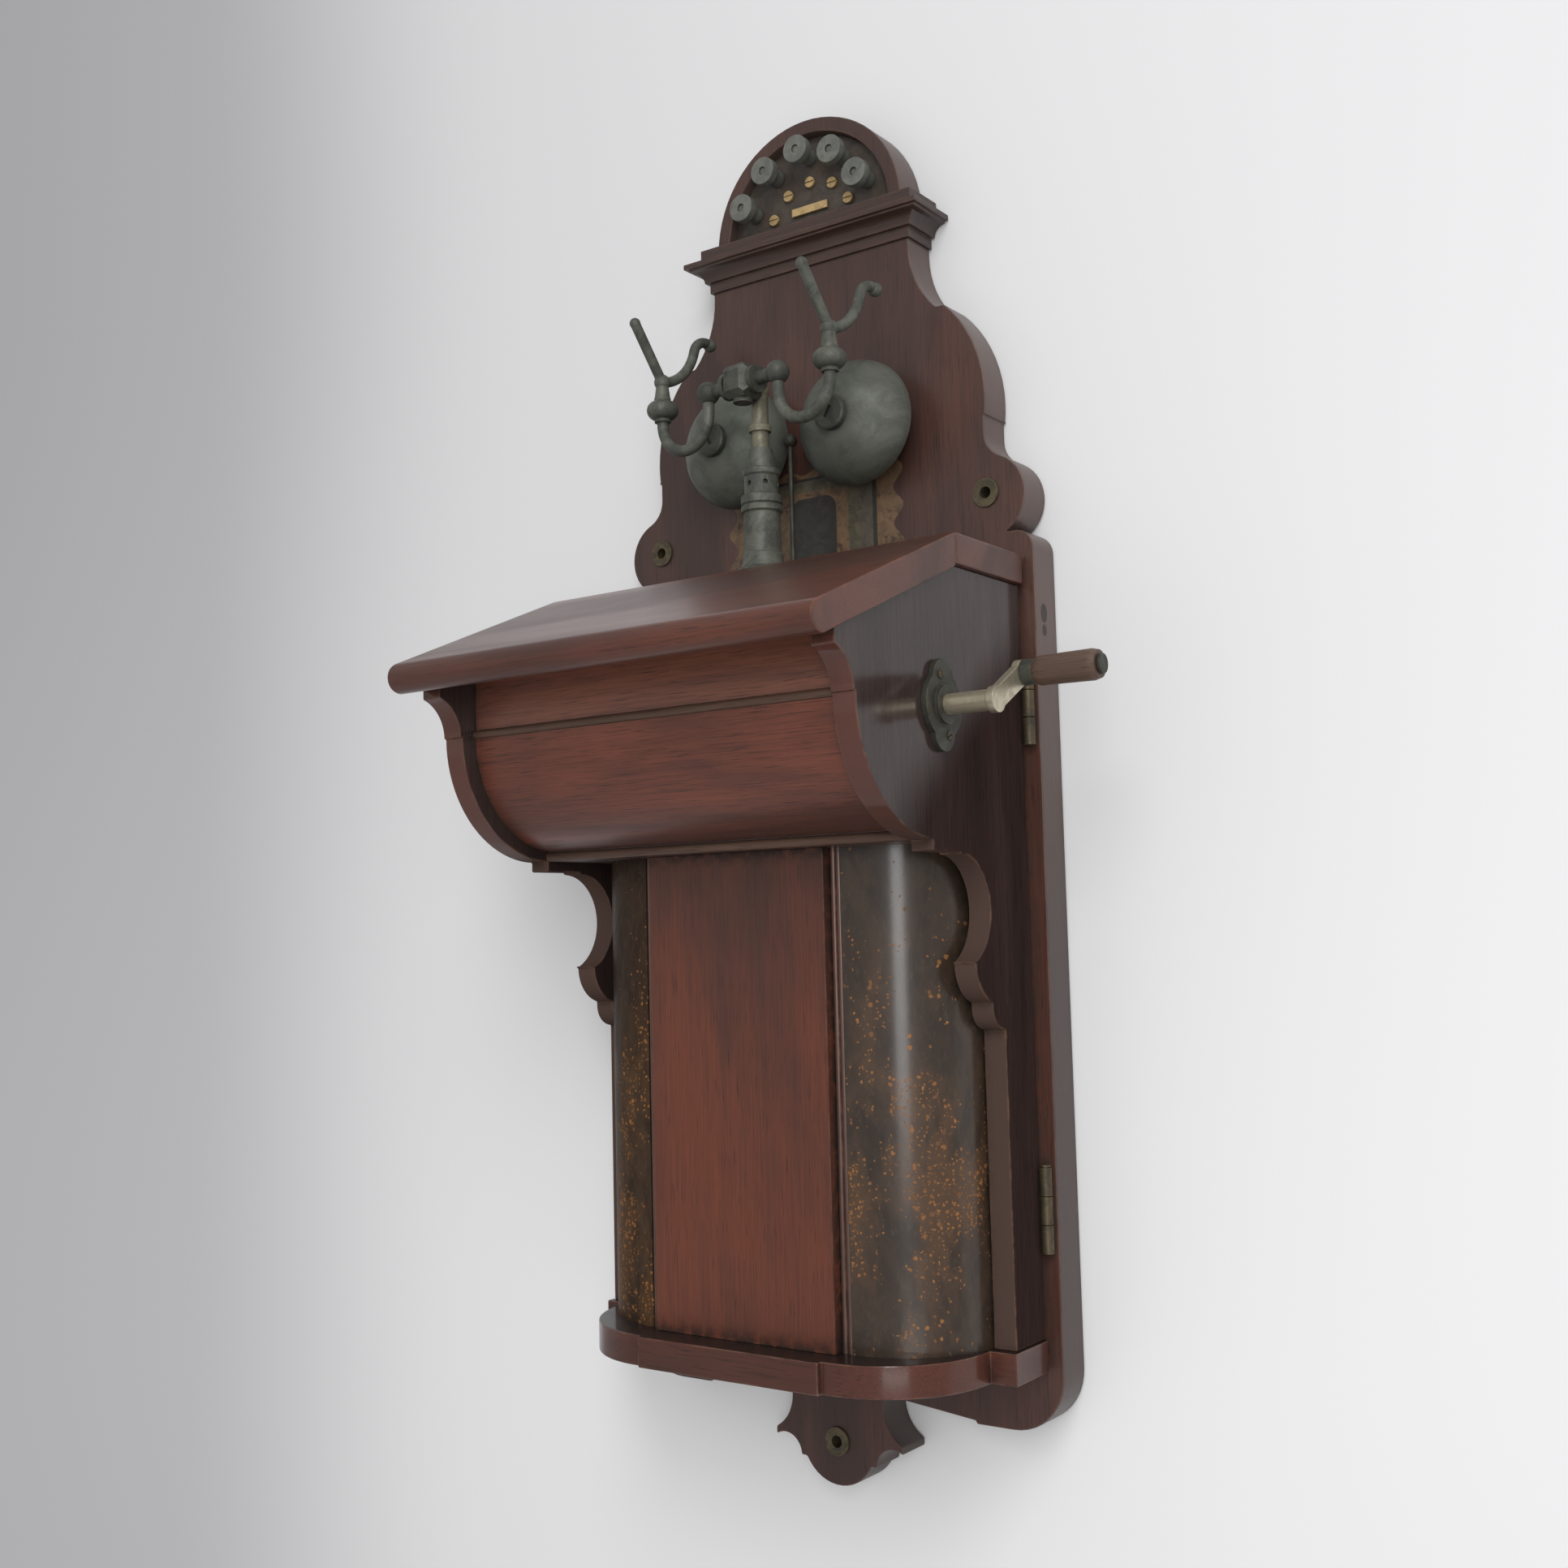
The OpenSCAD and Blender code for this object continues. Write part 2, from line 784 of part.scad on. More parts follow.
// Turned posts that hold the gongs off the backboard.
module gong_posts() {
  post_top = gong_rim + gong_h - gong_wall - 0.6;
  color("#6a6552")
    both_sides()
      difference() {
        union() {
          bar_y(gong_spacing / 2, board_t, board_t + 3, gong_z, gong_post_r + 4);
          bar_y(gong_spacing / 2, board_t + 3, post_top, gong_z, gong_post_r);
        }
        bar_y(gong_spacing / 2, post_top - gong_bore, post_top + cut, gong_z, gong_stud_r + seat_gap);
      }
}

// Large round slotted nuts on the gongs.
module gong_nuts() {
  seat = gong_rim + gong_h;
  color("#6b6f62")
    both_sides()
      difference() {
        union() {
          bar_y(gong_spacing / 2, seat - gong_wall - 8, seat, gong_z, gong_stud_r);
          bar_y(gong_spacing / 2, seat, seat + gong_nut_t - 1, gong_z, gong_nut_d / 2);
          translate([gong_spacing / 2, -seat - gong_nut_t + 1, gong_z])
            rotate([90, 0, 0])
              cylinder(h = 1, r1 = gong_nut_d / 2, r2 = gong_nut_d / 2 - 1.5);
        }
        translate([gong_spacing / 2, -seat - gong_nut_t, gong_z])
          rotate([0, 30, 0])
            cube([2, 3, gong_nut_d * 0.36], center = true);
      }
}

// Base plate of the ringer with the yoke under its coils.
module ringer_frame() {
  plate_front = board_t + ringer_plate_t;
  yoke_front = clapper_depth + coil_d / 2;
  color("#4d4a45")
    difference() {
      union() {
        block(-ringer_plate_hw, ringer_plate_hw, board_t, plate_front, coil_foot_z - yoke_t, pivot_z + 8);
        block(-ringer_plate_hw, ringer_plate_hw, plate_front, yoke_front,
              coil_foot_z - yoke_t, coil_foot_z);
      }
      bar_y(0, board_t - cut, plate_front + cut, pivot_z, pivot_pin_r + seat_gap);
    }
}

// Pair of wound coils with their iron cores.
module ringer_coils() {
  cheek_t = 2;
  color("#6e2f22")
    both_sides()
      union() {
        bar_z(coil_spacing / 2, clapper_depth, coil_foot_z, coil_foot_z + cheek_t, coil_d / 2);
        bar_z(coil_spacing / 2, clapper_depth, coil_foot_z + cheek_t, coil_top_z - cheek_t, coil_d / 2 - 1.5);
        bar_z(coil_spacing / 2, clapper_depth, coil_top_z - cheek_t, coil_top_z, coil_d / 2);
        bar_z(coil_spacing / 2, clapper_depth, coil_top_z, coil_top_z + 2, core_r);
      }
}

// Bar magnet that stands between the coils.
module ringer_magnet() {
  front = clapper_depth - 2;
  color("#5a2420")
    block(-5, 5, board_t + ringer_plate_t, front, coil_foot_z, coil_top_z - 2);
}

module clapper_pivot() {
  hub_front = clapper_depth + hub_len / 2;
  color("#8a8578")
    union() {
      bar_y(0, board_t, hub_front + free_gap, pivot_z, pivot_pin_r);
      bar_y(0, board_t + ringer_plate_t, hub_front - hub_len - free_gap, pivot_z, pivot_head_r);
      bar_y(0, hub_front + free_gap, hub_front + free_gap + pivot_head_t, pivot_z, pivot_head_r);
    }
}

// Hub and iron bar that rock over the coils.
module clapper_armature() {
  color("#55524c")
    difference() {
      union() {
        block(-armature_bar_hw, armature_bar_hw, clapper_depth - 5, clapper_depth + 5,
              pivot_z - armature_bar_t / 2, pivot_z + armature_bar_t / 2);
        bar_y(0, clapper_depth - hub_len / 2, clapper_depth + hub_len / 2, pivot_z, hub_r);
      }
      bar_y(0, clapper_depth - hub_len, clapper_depth + hub_len, pivot_z, pivot_pin_r + run_fit);
      bar_z(0, clapper_depth, pivot_z + pivot_pin_r + 1, pivot_z + hub_r + cut, rod_r + seat_gap);
    }
}

// Clapper rod with the ball between the gongs.
module clapper_rod() {
  color("#77725f")
    union() {
      bar_z(0, clapper_depth, pivot_z + pivot_pin_r + 1, ball_z, rod_r);
      translate([0, -clapper_depth, ball_z])
        sphere(r = clapper_ball_d / 2);
    }
}

// Hinges

// Knuckles of one hinge, from a list of thirds.
module knuckles(z0, thirds) {
  for (k = thirds)
    bar_z(hinge_x, hinge_depth, z0 + k * knuckle_len + (k > 0 ? free_gap / 2 : 0),
          z0 + (k + 1) * knuckle_len - (k < 2 ? free_gap / 2 : 0), knuckle_r);
}

module hinge_board_leaves() {
  leaf_x1 = hinge_x - knuckle_r - free_gap;
  color("#7d6b3f")
    for (z0 = hinge_zs)
      translate([0, 0, -hinge_len / 2])
        difference() {
          union() {
            block(hinge_x - hinge_leaf_w, leaf_x1, board_t, board_t + leaf_t, z0, z0 + hinge_len);
            block(leaf_x1, hinge_x, board_t, board_t + leaf_t,
                  z0 + knuckle_len + free_gap / 2, z0 + 2 * knuckle_len - free_gap / 2);
            knuckles(z0, [1]);
          }
          bar_z(hinge_x, hinge_depth, z0 - cut, z0 + hinge_len + cut, hinge_pin_r + seat_gap);
        }
}

module hinge_case_leaves() {
  leaf_x1 = hinge_x - knuckle_r - free_gap;
  leaf_back = case_back - case_leaf_t;
  color("#7d6b3f")
    for (z0 = hinge_zs)
      translate([0, 0, -hinge_len / 2])
        difference() {
          union() {
            block(hinge_x - hinge_leaf_w, leaf_x1, leaf_back, case_back, z0, z0 + hinge_len);
            for (k = [0, 2])
              block(leaf_x1, hinge_x, leaf_back, case_back,
                    z0 + k * knuckle_len + (k > 0 ? free_gap / 2 : 0),
                    z0 + (k + 1) * knuckle_len - (k < 2 ? free_gap / 2 : 0));
            knuckles(z0, [0, 2]);
          }
          bar_z(hinge_x, hinge_depth, z0 - cut, z0 + hinge_len + cut, hinge_pin_r + run_fit);
        }
}

module hinge_pins() {
  head_t = 1;
  color("#8c7a4a")
    for (z0 = hinge_zs)
      union() {
        bar_z(hinge_x, hinge_depth, z0 - hinge_len / 2, z0 + hinge_len / 2 + 0.3, hinge_pin_r);
        bar_z(hinge_x, hinge_depth, z0 + hinge_len / 2 + 0.3, z0 + hinge_len / 2 + 0.3 + head_t, knuckle_r - 0.4);
      }
}

// Case

// Upper (depth, height) outline of a side board, up to the underside of the desk.
module side_upper() {
  difference() {
    polygon([
      [case_back, shelf_z], [ridge_depth, shelf_z], [ridge_depth, under_z(ridge_depth)],
      [lip_depth, under_z(lip_depth)], [lip_depth, belly_z], [case_back, belly_z]
    ]);
    translate([belly_depth + belly_r + lip_step + lip_cove_r, belly_z])
      circle(lip_cove_r);
  }
}

// Lower outline of a side board: the belly, the scrolls under it and the straight stile.
module side_lower() {
  intersection() {
    translate([belly_depth, belly_z])
      circle(belly_r, $fn = 96);
    translate([belly_depth - cut, waist_z - cut])
      square([belly_r + 2 * cut, belly_r + cut]);
  }
  translate([case_back, front_top_z])
    square([belly_depth - case_back, belly_z - front_top_z + cut]);
  difference() {
    translate([case_back, cusp_z])
      square([cove_depth - case_back, front_top_z - cusp_z + cut]);
    translate([cove_depth, cove_z])
      circle(cove_r);
  }
  intersection() {
    translate([cusp_depth - cusp_lip - scallop_r, cusp_z])
      circle(scallop_r);
    translate([case_back, cusp_z - scallop_r - cut])
      square([cusp_depth, scallop_r + cut]);
  }
  translate([stile_depth, scallop_foot_z])
    circle(scallop_foot_r);
  translate([case_back, base_z])
    square([stile_depth - case_back, cusp_z - base_z + cut]);
}

// One side board between two places along X.
module side_board(x0, x1) {
  profile_x(x0, x1)
    side_upper();
  profile_x(x0, x1)
    side_lower();
}

module side_board_left() {
  color("#54382f")
    side_board(-case_hw, -inner_hw);
}

// Right side board, bored for the crank shaft.
module side_board_right() {
  color("#54382f")
    difference() {
      side_board(inner_hw, case_hw);
      bar_x(inner_hw - cut, case_hw + cut, crank_depth, crank_z, shaft_r + 1);
    }
}

// Sloping writing board with a rounded nose.
module desk_top() {
  nose_len = (nose_depth - desk_t / 2 + desk_t / 2 * sin(desk_slope) - ridge_depth) / cos(desk_slope);
  color("#6b4a44")
    profile_x(-desk_hw, desk_hw)
      intersection() {
        translate([ridge_depth, desk_z])
          rotate(-desk_slope)
            union() {
              translate([-desk_t, -desk_t])
                square([nose_len + desk_t, desk_t]);
              translate([nose_len, -desk_t / 2])
                circle(desk_t / 2);
            }
        translate([ridge_depth, belly_z])
          square([nose_depth, belly_drop]);
      }
}

// Level rear shelf, notched for the clapper rod and bored for the plunger.
module desk_shelf() {
  color("#6b4a44")
    difference() {
      block(-desk_hw, desk_hw, case_back, ridge_depth, shelf_z, desk_z);
      block(-notch_hw, notch_hw, case_back - cut, notch_depth, shelf_z - cut, desk_z + cut);
      bar_z(0, pillar_depth, shelf_z - cut, desk_z + cut, plunger_r + 0.5);
    }
}

module frieze_rail() {
  back = bulge_face - panel_t;
  color("#6a3f31")
    profile_x(-inner_hw, inner_hw)
      polygon([[back, bead_z], [bulge_face, bead_z], [bulge_face, under_z(bulge_face)], [back, under_z(back)]]);
}

module bead_moulding() {
  color("#76503a")
    profile_x(-inner_hw, inner_hw) {
      translate([bulge_face - panel_t, belly_z])
        square([panel_t, bead_h]);
      translate([bulge_face, belly_z + bead_h / 2])
        circle(bead_h / 2);
    }
}

// Quarter-round front of the upper case.
module bulge_panel() {
  color("#6c3a2c")
    profile_x(-inner_hw, inner_hw)
      intersection() {
        translate([belly_depth, belly_z])
          difference() {
            circle(bulge_r, $fn = 96);
            circle(bulge_r - panel_t, $fn = 96);
          }
        translate([belly_depth, belly_z - bulge_r - cut])
          square([bulge_r + cut, bulge_r + cut]);
      }
}

// Strip with a rounded nose under the curved front.
module waist_moulding() {
  nose = belly_depth - strip_h / 2;
  color("#5f4234")
    profile_x(-inner_hw, inner_hw) {
      translate([front_depth - 14, front_top_z])
        square([nose - front_depth + 14, strip_h]);
      translate([nose, front_top_z + strip_h / 2])
        circle(strip_h / 2);
    }
}

module generator_shelf() {
  color("#5b4a3c")
    block(-inner_hw, inner_hw, case_back, belly_depth, waist_z, floor_z);
}

module centre_panel() {
  color("#7a3a22")
    block(-front_hw, front_hw, front_depth - panel_t - 4, front_depth, base_z, front_top_z);
}

// Strip of two upright half-round beads on each side of the centre panel.
module panel_beads() {
  bead_r = bead_strip_w / 4;
  color("#5a3626")
    both_sides()
      plan_up(base_z, front_top_z) {
        translate([front_hw, bead_front - bead_back])
          square([bead_strip_w, bead_back - bead_r]);
        for (k = [1, 3])
          translate([front_hw + k * bead_r, bead_front - bead_r])
            circle(bead_r);
      }
}

// Quarter-round sheet at one front corner of the lower case.
module corner_panel(side) {
  color("#3b342c")
    mirror([side < 0 ? 1 : 0, 0, 0])
      union() {
        plan_up(base_z, front_top_z)
          translate([corner_x, corner_depth])
            intersection() {
              difference() {
                circle(corner_round, $fn = 96);
                circle(corner_round - corner_t, $fn = 96);
              }
              square(corner_round + cut);
            }
        block(corner_start_x, corner_x, bead_front - corner_t, bead_front, base_z, front_top_z);
        block(corner_side_x - corner_t, corner_side_x, stile_depth - corner_tuck, corner_depth,
              base_z, front_top_z);
      }
}

module corner_panel_left() {
  corner_panel(-1);
}

module corner_panel_right() {
  corner_panel(1);
}

// Base board with a centre block, rounded corners and feet under the side boards.
module base_board() {
  base_hw = case_hw + plinth_out;
  lap = 10;
  color("#5a3328")
    union() {
      block(-base_hw, base_hw, case_back, plinth_depth, foot_z, base_z);
      block(-front_hw, front_hw, case_back, base_face, foot_z, base_z);
      both_sides()
        plan_up(foot_z, base_z)
          intersection() {
            translate([base_round_x, base_round_depth])
              circle(base_round_r, $fn = 96);
            translate([0, plinth_depth - lap])
              square([base_round_x + base_round_r + cut, base_face - plinth_depth + lap]);
          }
    }
}

// Cradle pillar and hook switch

// Turned pillar, bored for the plunger and its spring.
module cradle_pillar() {
  shank_h = pillar_h - 32.7;
  drum_h = shank_h + 9.2;
  drum_top = drum_h + 9.8;
  color("#5c625b")
    translate([0, -pillar_depth, desk_z])
      difference() {
        rotate_extrude()
          polygon([
            [0, 0], [pillar_r + 5.5, 0], [pillar_r + 5.5, 2], [pillar_r + 2, 4], [pillar_r + 0.8, 8],
            [pillar_r + 0.8, 10.5], [pillar_r, 11.5], [pillar_r, shank_h - 1], [pillar_r + 1.2, shank_h],
            [pillar_r + 1.2, shank_h + 2.6], [pillar_r + 0.3, shank_h + 3.3], [pillar_r + 1.2, shank_h + 4],
            [pillar_r + 1.2, drum_h - 1.5], [pillar_r - 0.7, drum_h], [pillar_r - 0.7, drum_top - 1],
            [pillar_r + 0.2, drum_top], [pillar_r + 0.2, drum_top + 2.4], [pillar_r - 2, drum_top + 3.4],
            [pillar_r - 2.6, drum_top + 7], [plunger_r + 1.6, pillar_h], [0, pillar_h]
          ]);
        translate([0, 0, -cut])
          cylinder(h = pillar_h + 2 * cut, r = plunger_r + run_fit);
        translate([0, 0, -cut])
          cylinder(h = pillar_h - 10 + cut, r = spring_bore_r);
        for (a = [0 : 60 : 300])
          rotate([0, 0, a + 20])
            translate([spring_bore_r - 2, 0, (drum_h + drum_top) / 2])
              rotate([0, 90, 0])
                cylinder(h = pillar_r, r = 1.3);
      }
}

// Points of one ring of the spring wire at a turn angle.
spring_z0 = desk_z + spring_wire_r + 0.3;
spring_z1 = collar_z - collar_t / 2 - spring_wire_r - 0.3;
spring_steps = spring_turns * 8;
spring_sides = 6;
function spring_at(i) = [
  spring_r * cos(i * 45), spring_r * sin(i * 45), spring_z0 + (spring_z1 - spring_z0) * i / spring_steps
];
function spring_ring(i) = [
  for (k = [0 : spring_sides - 1])
    let (p = spring_at(i), a = k * 360 / spring_sides, r = spring_r + spring_wire_r * cos(a))
      [r * cos(i * 45), r * sin(i * 45), p[2] + spring_wire_r * sin(a)]
];
spring_self_gap = (spring_z1 - spring_z0) / spring_turns - 2 * spring_wire_r;
echo(hook_spring_least_gap_mm = spring_self_gap);

// Return spring of the cradle, one unbroken wire.
module hook_spring() {
  points = [for (i = [0 : spring_steps]) each spring_ring(i)];
  last = spring_steps * spring_sides;
  sides = [
    for (i = [0 : spring_steps - 1])
      for (k = [0 : spring_sides - 1])
        let (a = i * spring_sides + k, b = i * spring_sides + (k + 1) % spring_sides)
          each [[a, b, b + spring_sides], [a, b + spring_sides, a + spring_sides]]
  ];
  ends = [
    for (k = [1 : spring_sides - 2])
      each [[0, k + 1, k], [last, last + k, last + k + 1]]
  ];
  color("#8f8f88")
    translate([0, -pillar_depth, 0])
      polyhedron(points = points, faces = concat(sides, ends));
}

// Insulating block under the shelf that carries the hook lever and the contact blades.
module contact_block() {
  color("#26211f")
    difference() {
      block(-lever_arm - block_w / 2, -lever_arm + block_w / 2, pillar_depth - block_l / 2,
            pillar_depth + block_l / 2, lever_z - block_h, shelf_z);
      block(-lever_arm - block_w, -lever_arm + block_w, pillar_depth - lever_w / 2 - free_gap,
            pillar_depth + lever_w / 2 + free_gap, lever_z - 7, lever_z + 7);
    }
  color("#8a8578")
    bar_y(-lever_arm, pillar_depth - block_l / 2 + 2, pillar_depth + block_l / 2 - 2, lever_z, lever_pin_r);
}

// Leaf contacts that stand out of the block under the lever.
module contact_springs() {
  blade_t = 0.6;
  first_z = lever_z - blade_drop;
  color("#a8925a")
    for (i = [0 : 1])
      block(-lever_arm + block_w / 2, 10, pillar_depth - 3, pillar_depth + 3,
            first_z - i * blade_step, first_z - i * blade_step + blade_t);
}

// Lever that the plunger presses down.
module hook_lever() {
  color("#8f7d4c")
    difference() {
      union() {
        block(-lever_arm, 5, pillar_depth - lever_w / 2, pillar_depth + lever_w / 2,
              lever_z - lever_t / 2, lever_z + lever_t / 2);
        bar_y(-lever_arm, pillar_depth - lever_w / 2, pillar_depth + lever_w / 2, lever_z, 4);
      }
      bar_y(-lever_arm, pillar_depth - lever_w, pillar_depth + lever_w, lever_z, lever_pin_r + run_fit);
    }
}

// Moving cradle

// Turns the cradle about the axis of its pillar.
module cradle_place() {
  translate([0, -pillar_depth, 0])
    rotate([0, 0, cradle_turn])
      translate([0, pillar_depth, 0])
        children();
}

// Plunger with its spring collar and the elbow that carries the crosshead.
module cradle_plunger() {
  elbow_r = plunger_r + 0.6;
  head_back = pillar_depth + crosshead_lead - head_size / 2;
  color("#8d8872")
    cradle_place()
      union() {
        bar_z(0, pillar_depth, plunger_foot_z, plunger_step_z, plunger_tip_r);
        bar_z(0, pillar_depth, plunger_step_z, head_z - elbow_drop, plunger_r);
        bar_z(0, pillar_depth, collar_z - collar_t / 2, collar_z + collar_t / 2, collar_r);
        bar_z(0, pillar_depth, pillar_top_z + hook_travel + 3, pillar_top_z + hook_travel + 6, plunger_r + 1.4);
        difference() {
          translate([0, -pillar_depth, head_z - elbow_drop])
            sphere(r = elbow_r);
          block(-elbow_r - cut, elbow_r + cut, head_back, head_back + elbow_r,
                head_z - elbow_drop - elbow_r - cut, head_z - elbow_drop + elbow_r + cut);
        }
        bar_y(0, pillar_depth, head_back, head_z - elbow_drop, plunger_r);
      }
}

// Block with chamfered edges, side collars and end balls.
module cradle_crosshead() {
  head_depth = pillar_depth + crosshead_lead;
  reach = (head_size - head_chamfer) * sqrt(2);
  color("#616860")
    cradle_place()
      union() {
        intersection() {
          translate([0, -head_depth, head_z])
            cube(head_size, center = true);
          translate([0, -head_depth, head_z])
            rotate([45, 0, 0])
              cube([head_size, reach, reach], center = true);
          translate([0, -head_depth, head_z])
            rotate([0, 45, 0])
              cube([reach, head_size, reach], center = true);
          translate([0, -head_depth, head_z])
            rotate([0, 0, 45])
              cube([reach, reach, head_size], center = true);
        }
        both_sides() {
          bar_x(head_size / 2, head_size / 2 + 2.4, head_depth, head_z, 7);
          bar_x(head_size / 2 + 2.4, ball_x, head_depth, head_z, rod_half + 0.4);
          difference() {
            translate([ball_x, -head_depth, head_z])
              sphere(r = ball_r);
            block(0, fork_x, head_depth - ball_r, head_depth + ball_r, head_z - 2 * ball_r, head_z - ball_flat);
          }
        }
        bar_z(0, head_depth, head_z - head_size / 2 - 2, head_z - head_size / 2, 5);
      }
}

// Bent arms that drop from the balls and rise to a knob at each fork.
module cradle_arms() {
  head_depth = pillar_depth + crosshead_lead;
  color("#616860")
    cradle_place()
      both_sides()
        union() {
          bar_z(ball_x, head_depth, bend_z, head_z - ball_flat, rod_half);
          translate([bend_x, -head_depth, bend_z])
            rotate([90, 0, 0])
              rotate([0, 0, 180])
                rotate_extrude(angle = 180)
                  translate([bend_r, 0])
                    circle(rod_half);
          bar_z(fork_x, head_depth, bend_z, knob_z, rod_half);
          translate([fork_x, -head_depth, knob_z])
            rotate_extrude()
              intersection() {
                union() {
                  translate([knob_r - knob_h / 2 + 1.5, 0])
                    circle(knob_h / 2 - 1.5);
                  translate([0, -knob_h / 2])
                    square([4.4, knob_h]);
                }
                translate([0, -knob_h / 2])
                  square([knob_r, knob_h]);
              }
        }
}

// Arc of round rod in the plane of a fork, about a centre given as depth offset and height.
module horn_arc(back, up, r, a0, a1) {
  translate([0, back, up])
    rotate([90, 0, 90])
      rotate([0, 0, a0])
        rotate_extrude(angle = a1 - a0)
          translate([r, 0])
            circle(rod_half - 0.3);
}

// Forked rest on each knob: a straight front horn and a hooked rear horn.
module fork() {
  horn_len = sqrt(horn_front * horn_front + horn_up * horn_up);
  horn_lean = atan2(horn_front, horn_up);
  sweep_back = -horn_sweep_r * sin(horn_turn_in);
  sweep_up = horn_sweep_r * cos(horn_turn_in);
  hook_back = sweep_back + (horn_sweep_r + horn_hook_r) * sin(horn_turn_up);
  hook_up = sweep_up - (horn_sweep_r + horn_hook_r) * cos(horn_turn_up);
  tip_back = hook_back - horn_hook_r * sin(horn_turn_out);
  tip_up = hook_up + horn_hook_r * cos(horn_turn_out);
  translate([0, 0, stem_z - crotch_z])
    cylinder(h = crotch_z - stem_z, r1 = 4.2, r2 = rod_half);
  sphere(r = 4.3);
  rotate([horn_lean, 0, 0])
    cylinder(h = horn_len, r = rod_half - 0.3);
  translate([0, -horn_front, horn_up])
    sphere(r = rod_half - 0.1);
  horn_arc(sweep_back, sweep_up, horn_sweep_r, horn_turn_in - 90, horn_turn_up - 90);
  horn_arc(hook_back, hook_up, horn_hook_r, horn_turn_out + 90, horn_turn_up + 90);
  translate([0, sweep_back + horn_sweep_r * sin(horn_turn_up), sweep_up - horn_sweep_r * cos(horn_turn_up)])
    sphere(r = rod_half - 0.25);
  translate([0, tip_back, tip_up])
    sphere(r = horn_tip_r);
}

module cradle_forks() {
  head_depth = pillar_depth + crosshead_lead;
  color("#656b60")
    cradle_place()
      both_sides()
        translate([fork_x, -head_depth, crotch_z])
          fork();
}

// Magneto and crank

// Toothed wheel outline with straight-sided teeth.
module gear_outline(teeth, phase) {
  pitch_r = gear_module * teeth / 2;
  tip_r = pitch_r + gear_module * 0.85;
  root_r = pitch_r - gear_module * 1.2;
  step = 360 / teeth;
  polygon([
    for (i = [0 : teeth - 1])
      for (c = [[root_r, -0.33], [tip_r, -0.11], [tip_r, 0.11], [root_r, 0.33]])
        let (a = (i + c[1]) * step + phase)
          [c[0] * cos(a), c[0] * sin(a)]
  ]);
}

// Places a wheel drawn flat on an axis along X.
module wheel_x(x, depth, z) {
  translate([x, -depth, z])
    rotate([90, 0, 90])
      children();
}

module crank_shaft() {
  color("#b9b39c")
    union() {
      bar_x(shaft_end_x, arm_x, crank_depth, crank_z, shaft_r);
      bar_x(gear_x + gear_t, gear_x + gear_t + 2, crank_depth, crank_z, gear_hub_r);
    }
}

// Spoked gear on the crank shaft.
module drive_gear() {
  rim_r = gear_r - 5;
  color("#a58a4e")
    wheel_x(gear_x, crank_depth, crank_z)
      difference() {
        linear_extrude(gear_t)
          gear_outline(gear_teeth, mesh_tooth);
        translate([0, 0, -cut])
          cylinder(h = gear_t + 2 * cut, r = shaft_r + seat_gap);
        for (a = [0 : 60 : 300])
          rotate([0, 0, a])
            translate([(rim_r + gear_hub_r) / 2, 0, -cut])
              cylinder(h = gear_t + 2 * cut, r = (rim_r - gear_hub_r) / 2 - 0.8);
      }
}

// Flat arm from the shaft to the grip pin.
module crank_arm() {
  color("#a9a48f")
    translate([arm_x, -crank_depth, crank_z])
      rotate([crank_angle, 0, 0])
        difference() {
          union() {
            bar_x(0, arm_t, 0, 0, arm_w / 2 + arm_boss);
            bar_x(0, arm_t, -crank_throw, 0, arm_w / 2 + arm_boss);
            translate([0, 0, -arm_w / 2])
              cube([arm_t, crank_throw - grip_pin_r, arm_w]);
          }
          bar_x(-cut, arm_t + cut, -crank_throw, 0, grip_pin_r + seat_gap);
        }
}

// Fixed pin of the grip, with a collar at the arm and a head at the end.
module grip_pin() {
  collar_x = arm_x + arm_t;
  end_x = grip_x + grip_len + free_gap;
  color("#4a4843")
    union() {
      bar_x(arm_x, collar_x, -grip_y, grip_z, grip_pin_r);
      translate([collar_x, grip_y, grip_z])
        rotate([0, 90, 0])
          cylinder(h = ferrule_len, r1 = grip_d / 2 - 1, r2 = grip_d / 2 - 1.6);
      bar_x(collar_x + ferrule_len, end_x, -grip_y, grip_z, grip_pin_r);
      bar_x(end_x, end_x + 1.5, -grip_y, grip_z, grip_pin_r + 2);
    }
}

// Turned wooden grip that spins on its pin.
module crank_grip() {
  end_r = grip_d / 2;
  color("#5b4132")
    translate([grip_x, grip_y, grip_z])
      rotate([0, 90, 0])
        rotate_extrude()
          polygon([
            [grip_pin_r + run_fit, 0], [end_r - 1.2, 0], [end_r - 0.4, 2], [end_r, grip_len - 3],
            [end_r - 0.8, grip_len], [grip_pin_r + run_fit, grip_len]
          ]);
}

// Round iron plate with a boss round the crank shaft.
module crank_escutcheon() {
  color("#3a3a38")
    difference() {
      union() {
        bar_x(case_hw, case_hw + escutcheon_t, crank_depth, crank_z, escutcheon_w / 2);
        for (s = [-1, 1])
          bar_x(case_hw, case_hw + escutcheon_t, crank_depth,
                crank_z + s * (escutcheon_h / 2 - escutcheon_lobe_r), escutcheon_lobe_r);
        bar_x(case_hw + escutcheon_t, case_hw + escutcheon_boss_h, crank_depth, crank_z, escutcheon_boss_r);
      }
      bar_x(case_hw - cut, case_hw + escutcheon_boss_h + cut, crank_depth, crank_z, shaft_r + run_fit);
    }
}

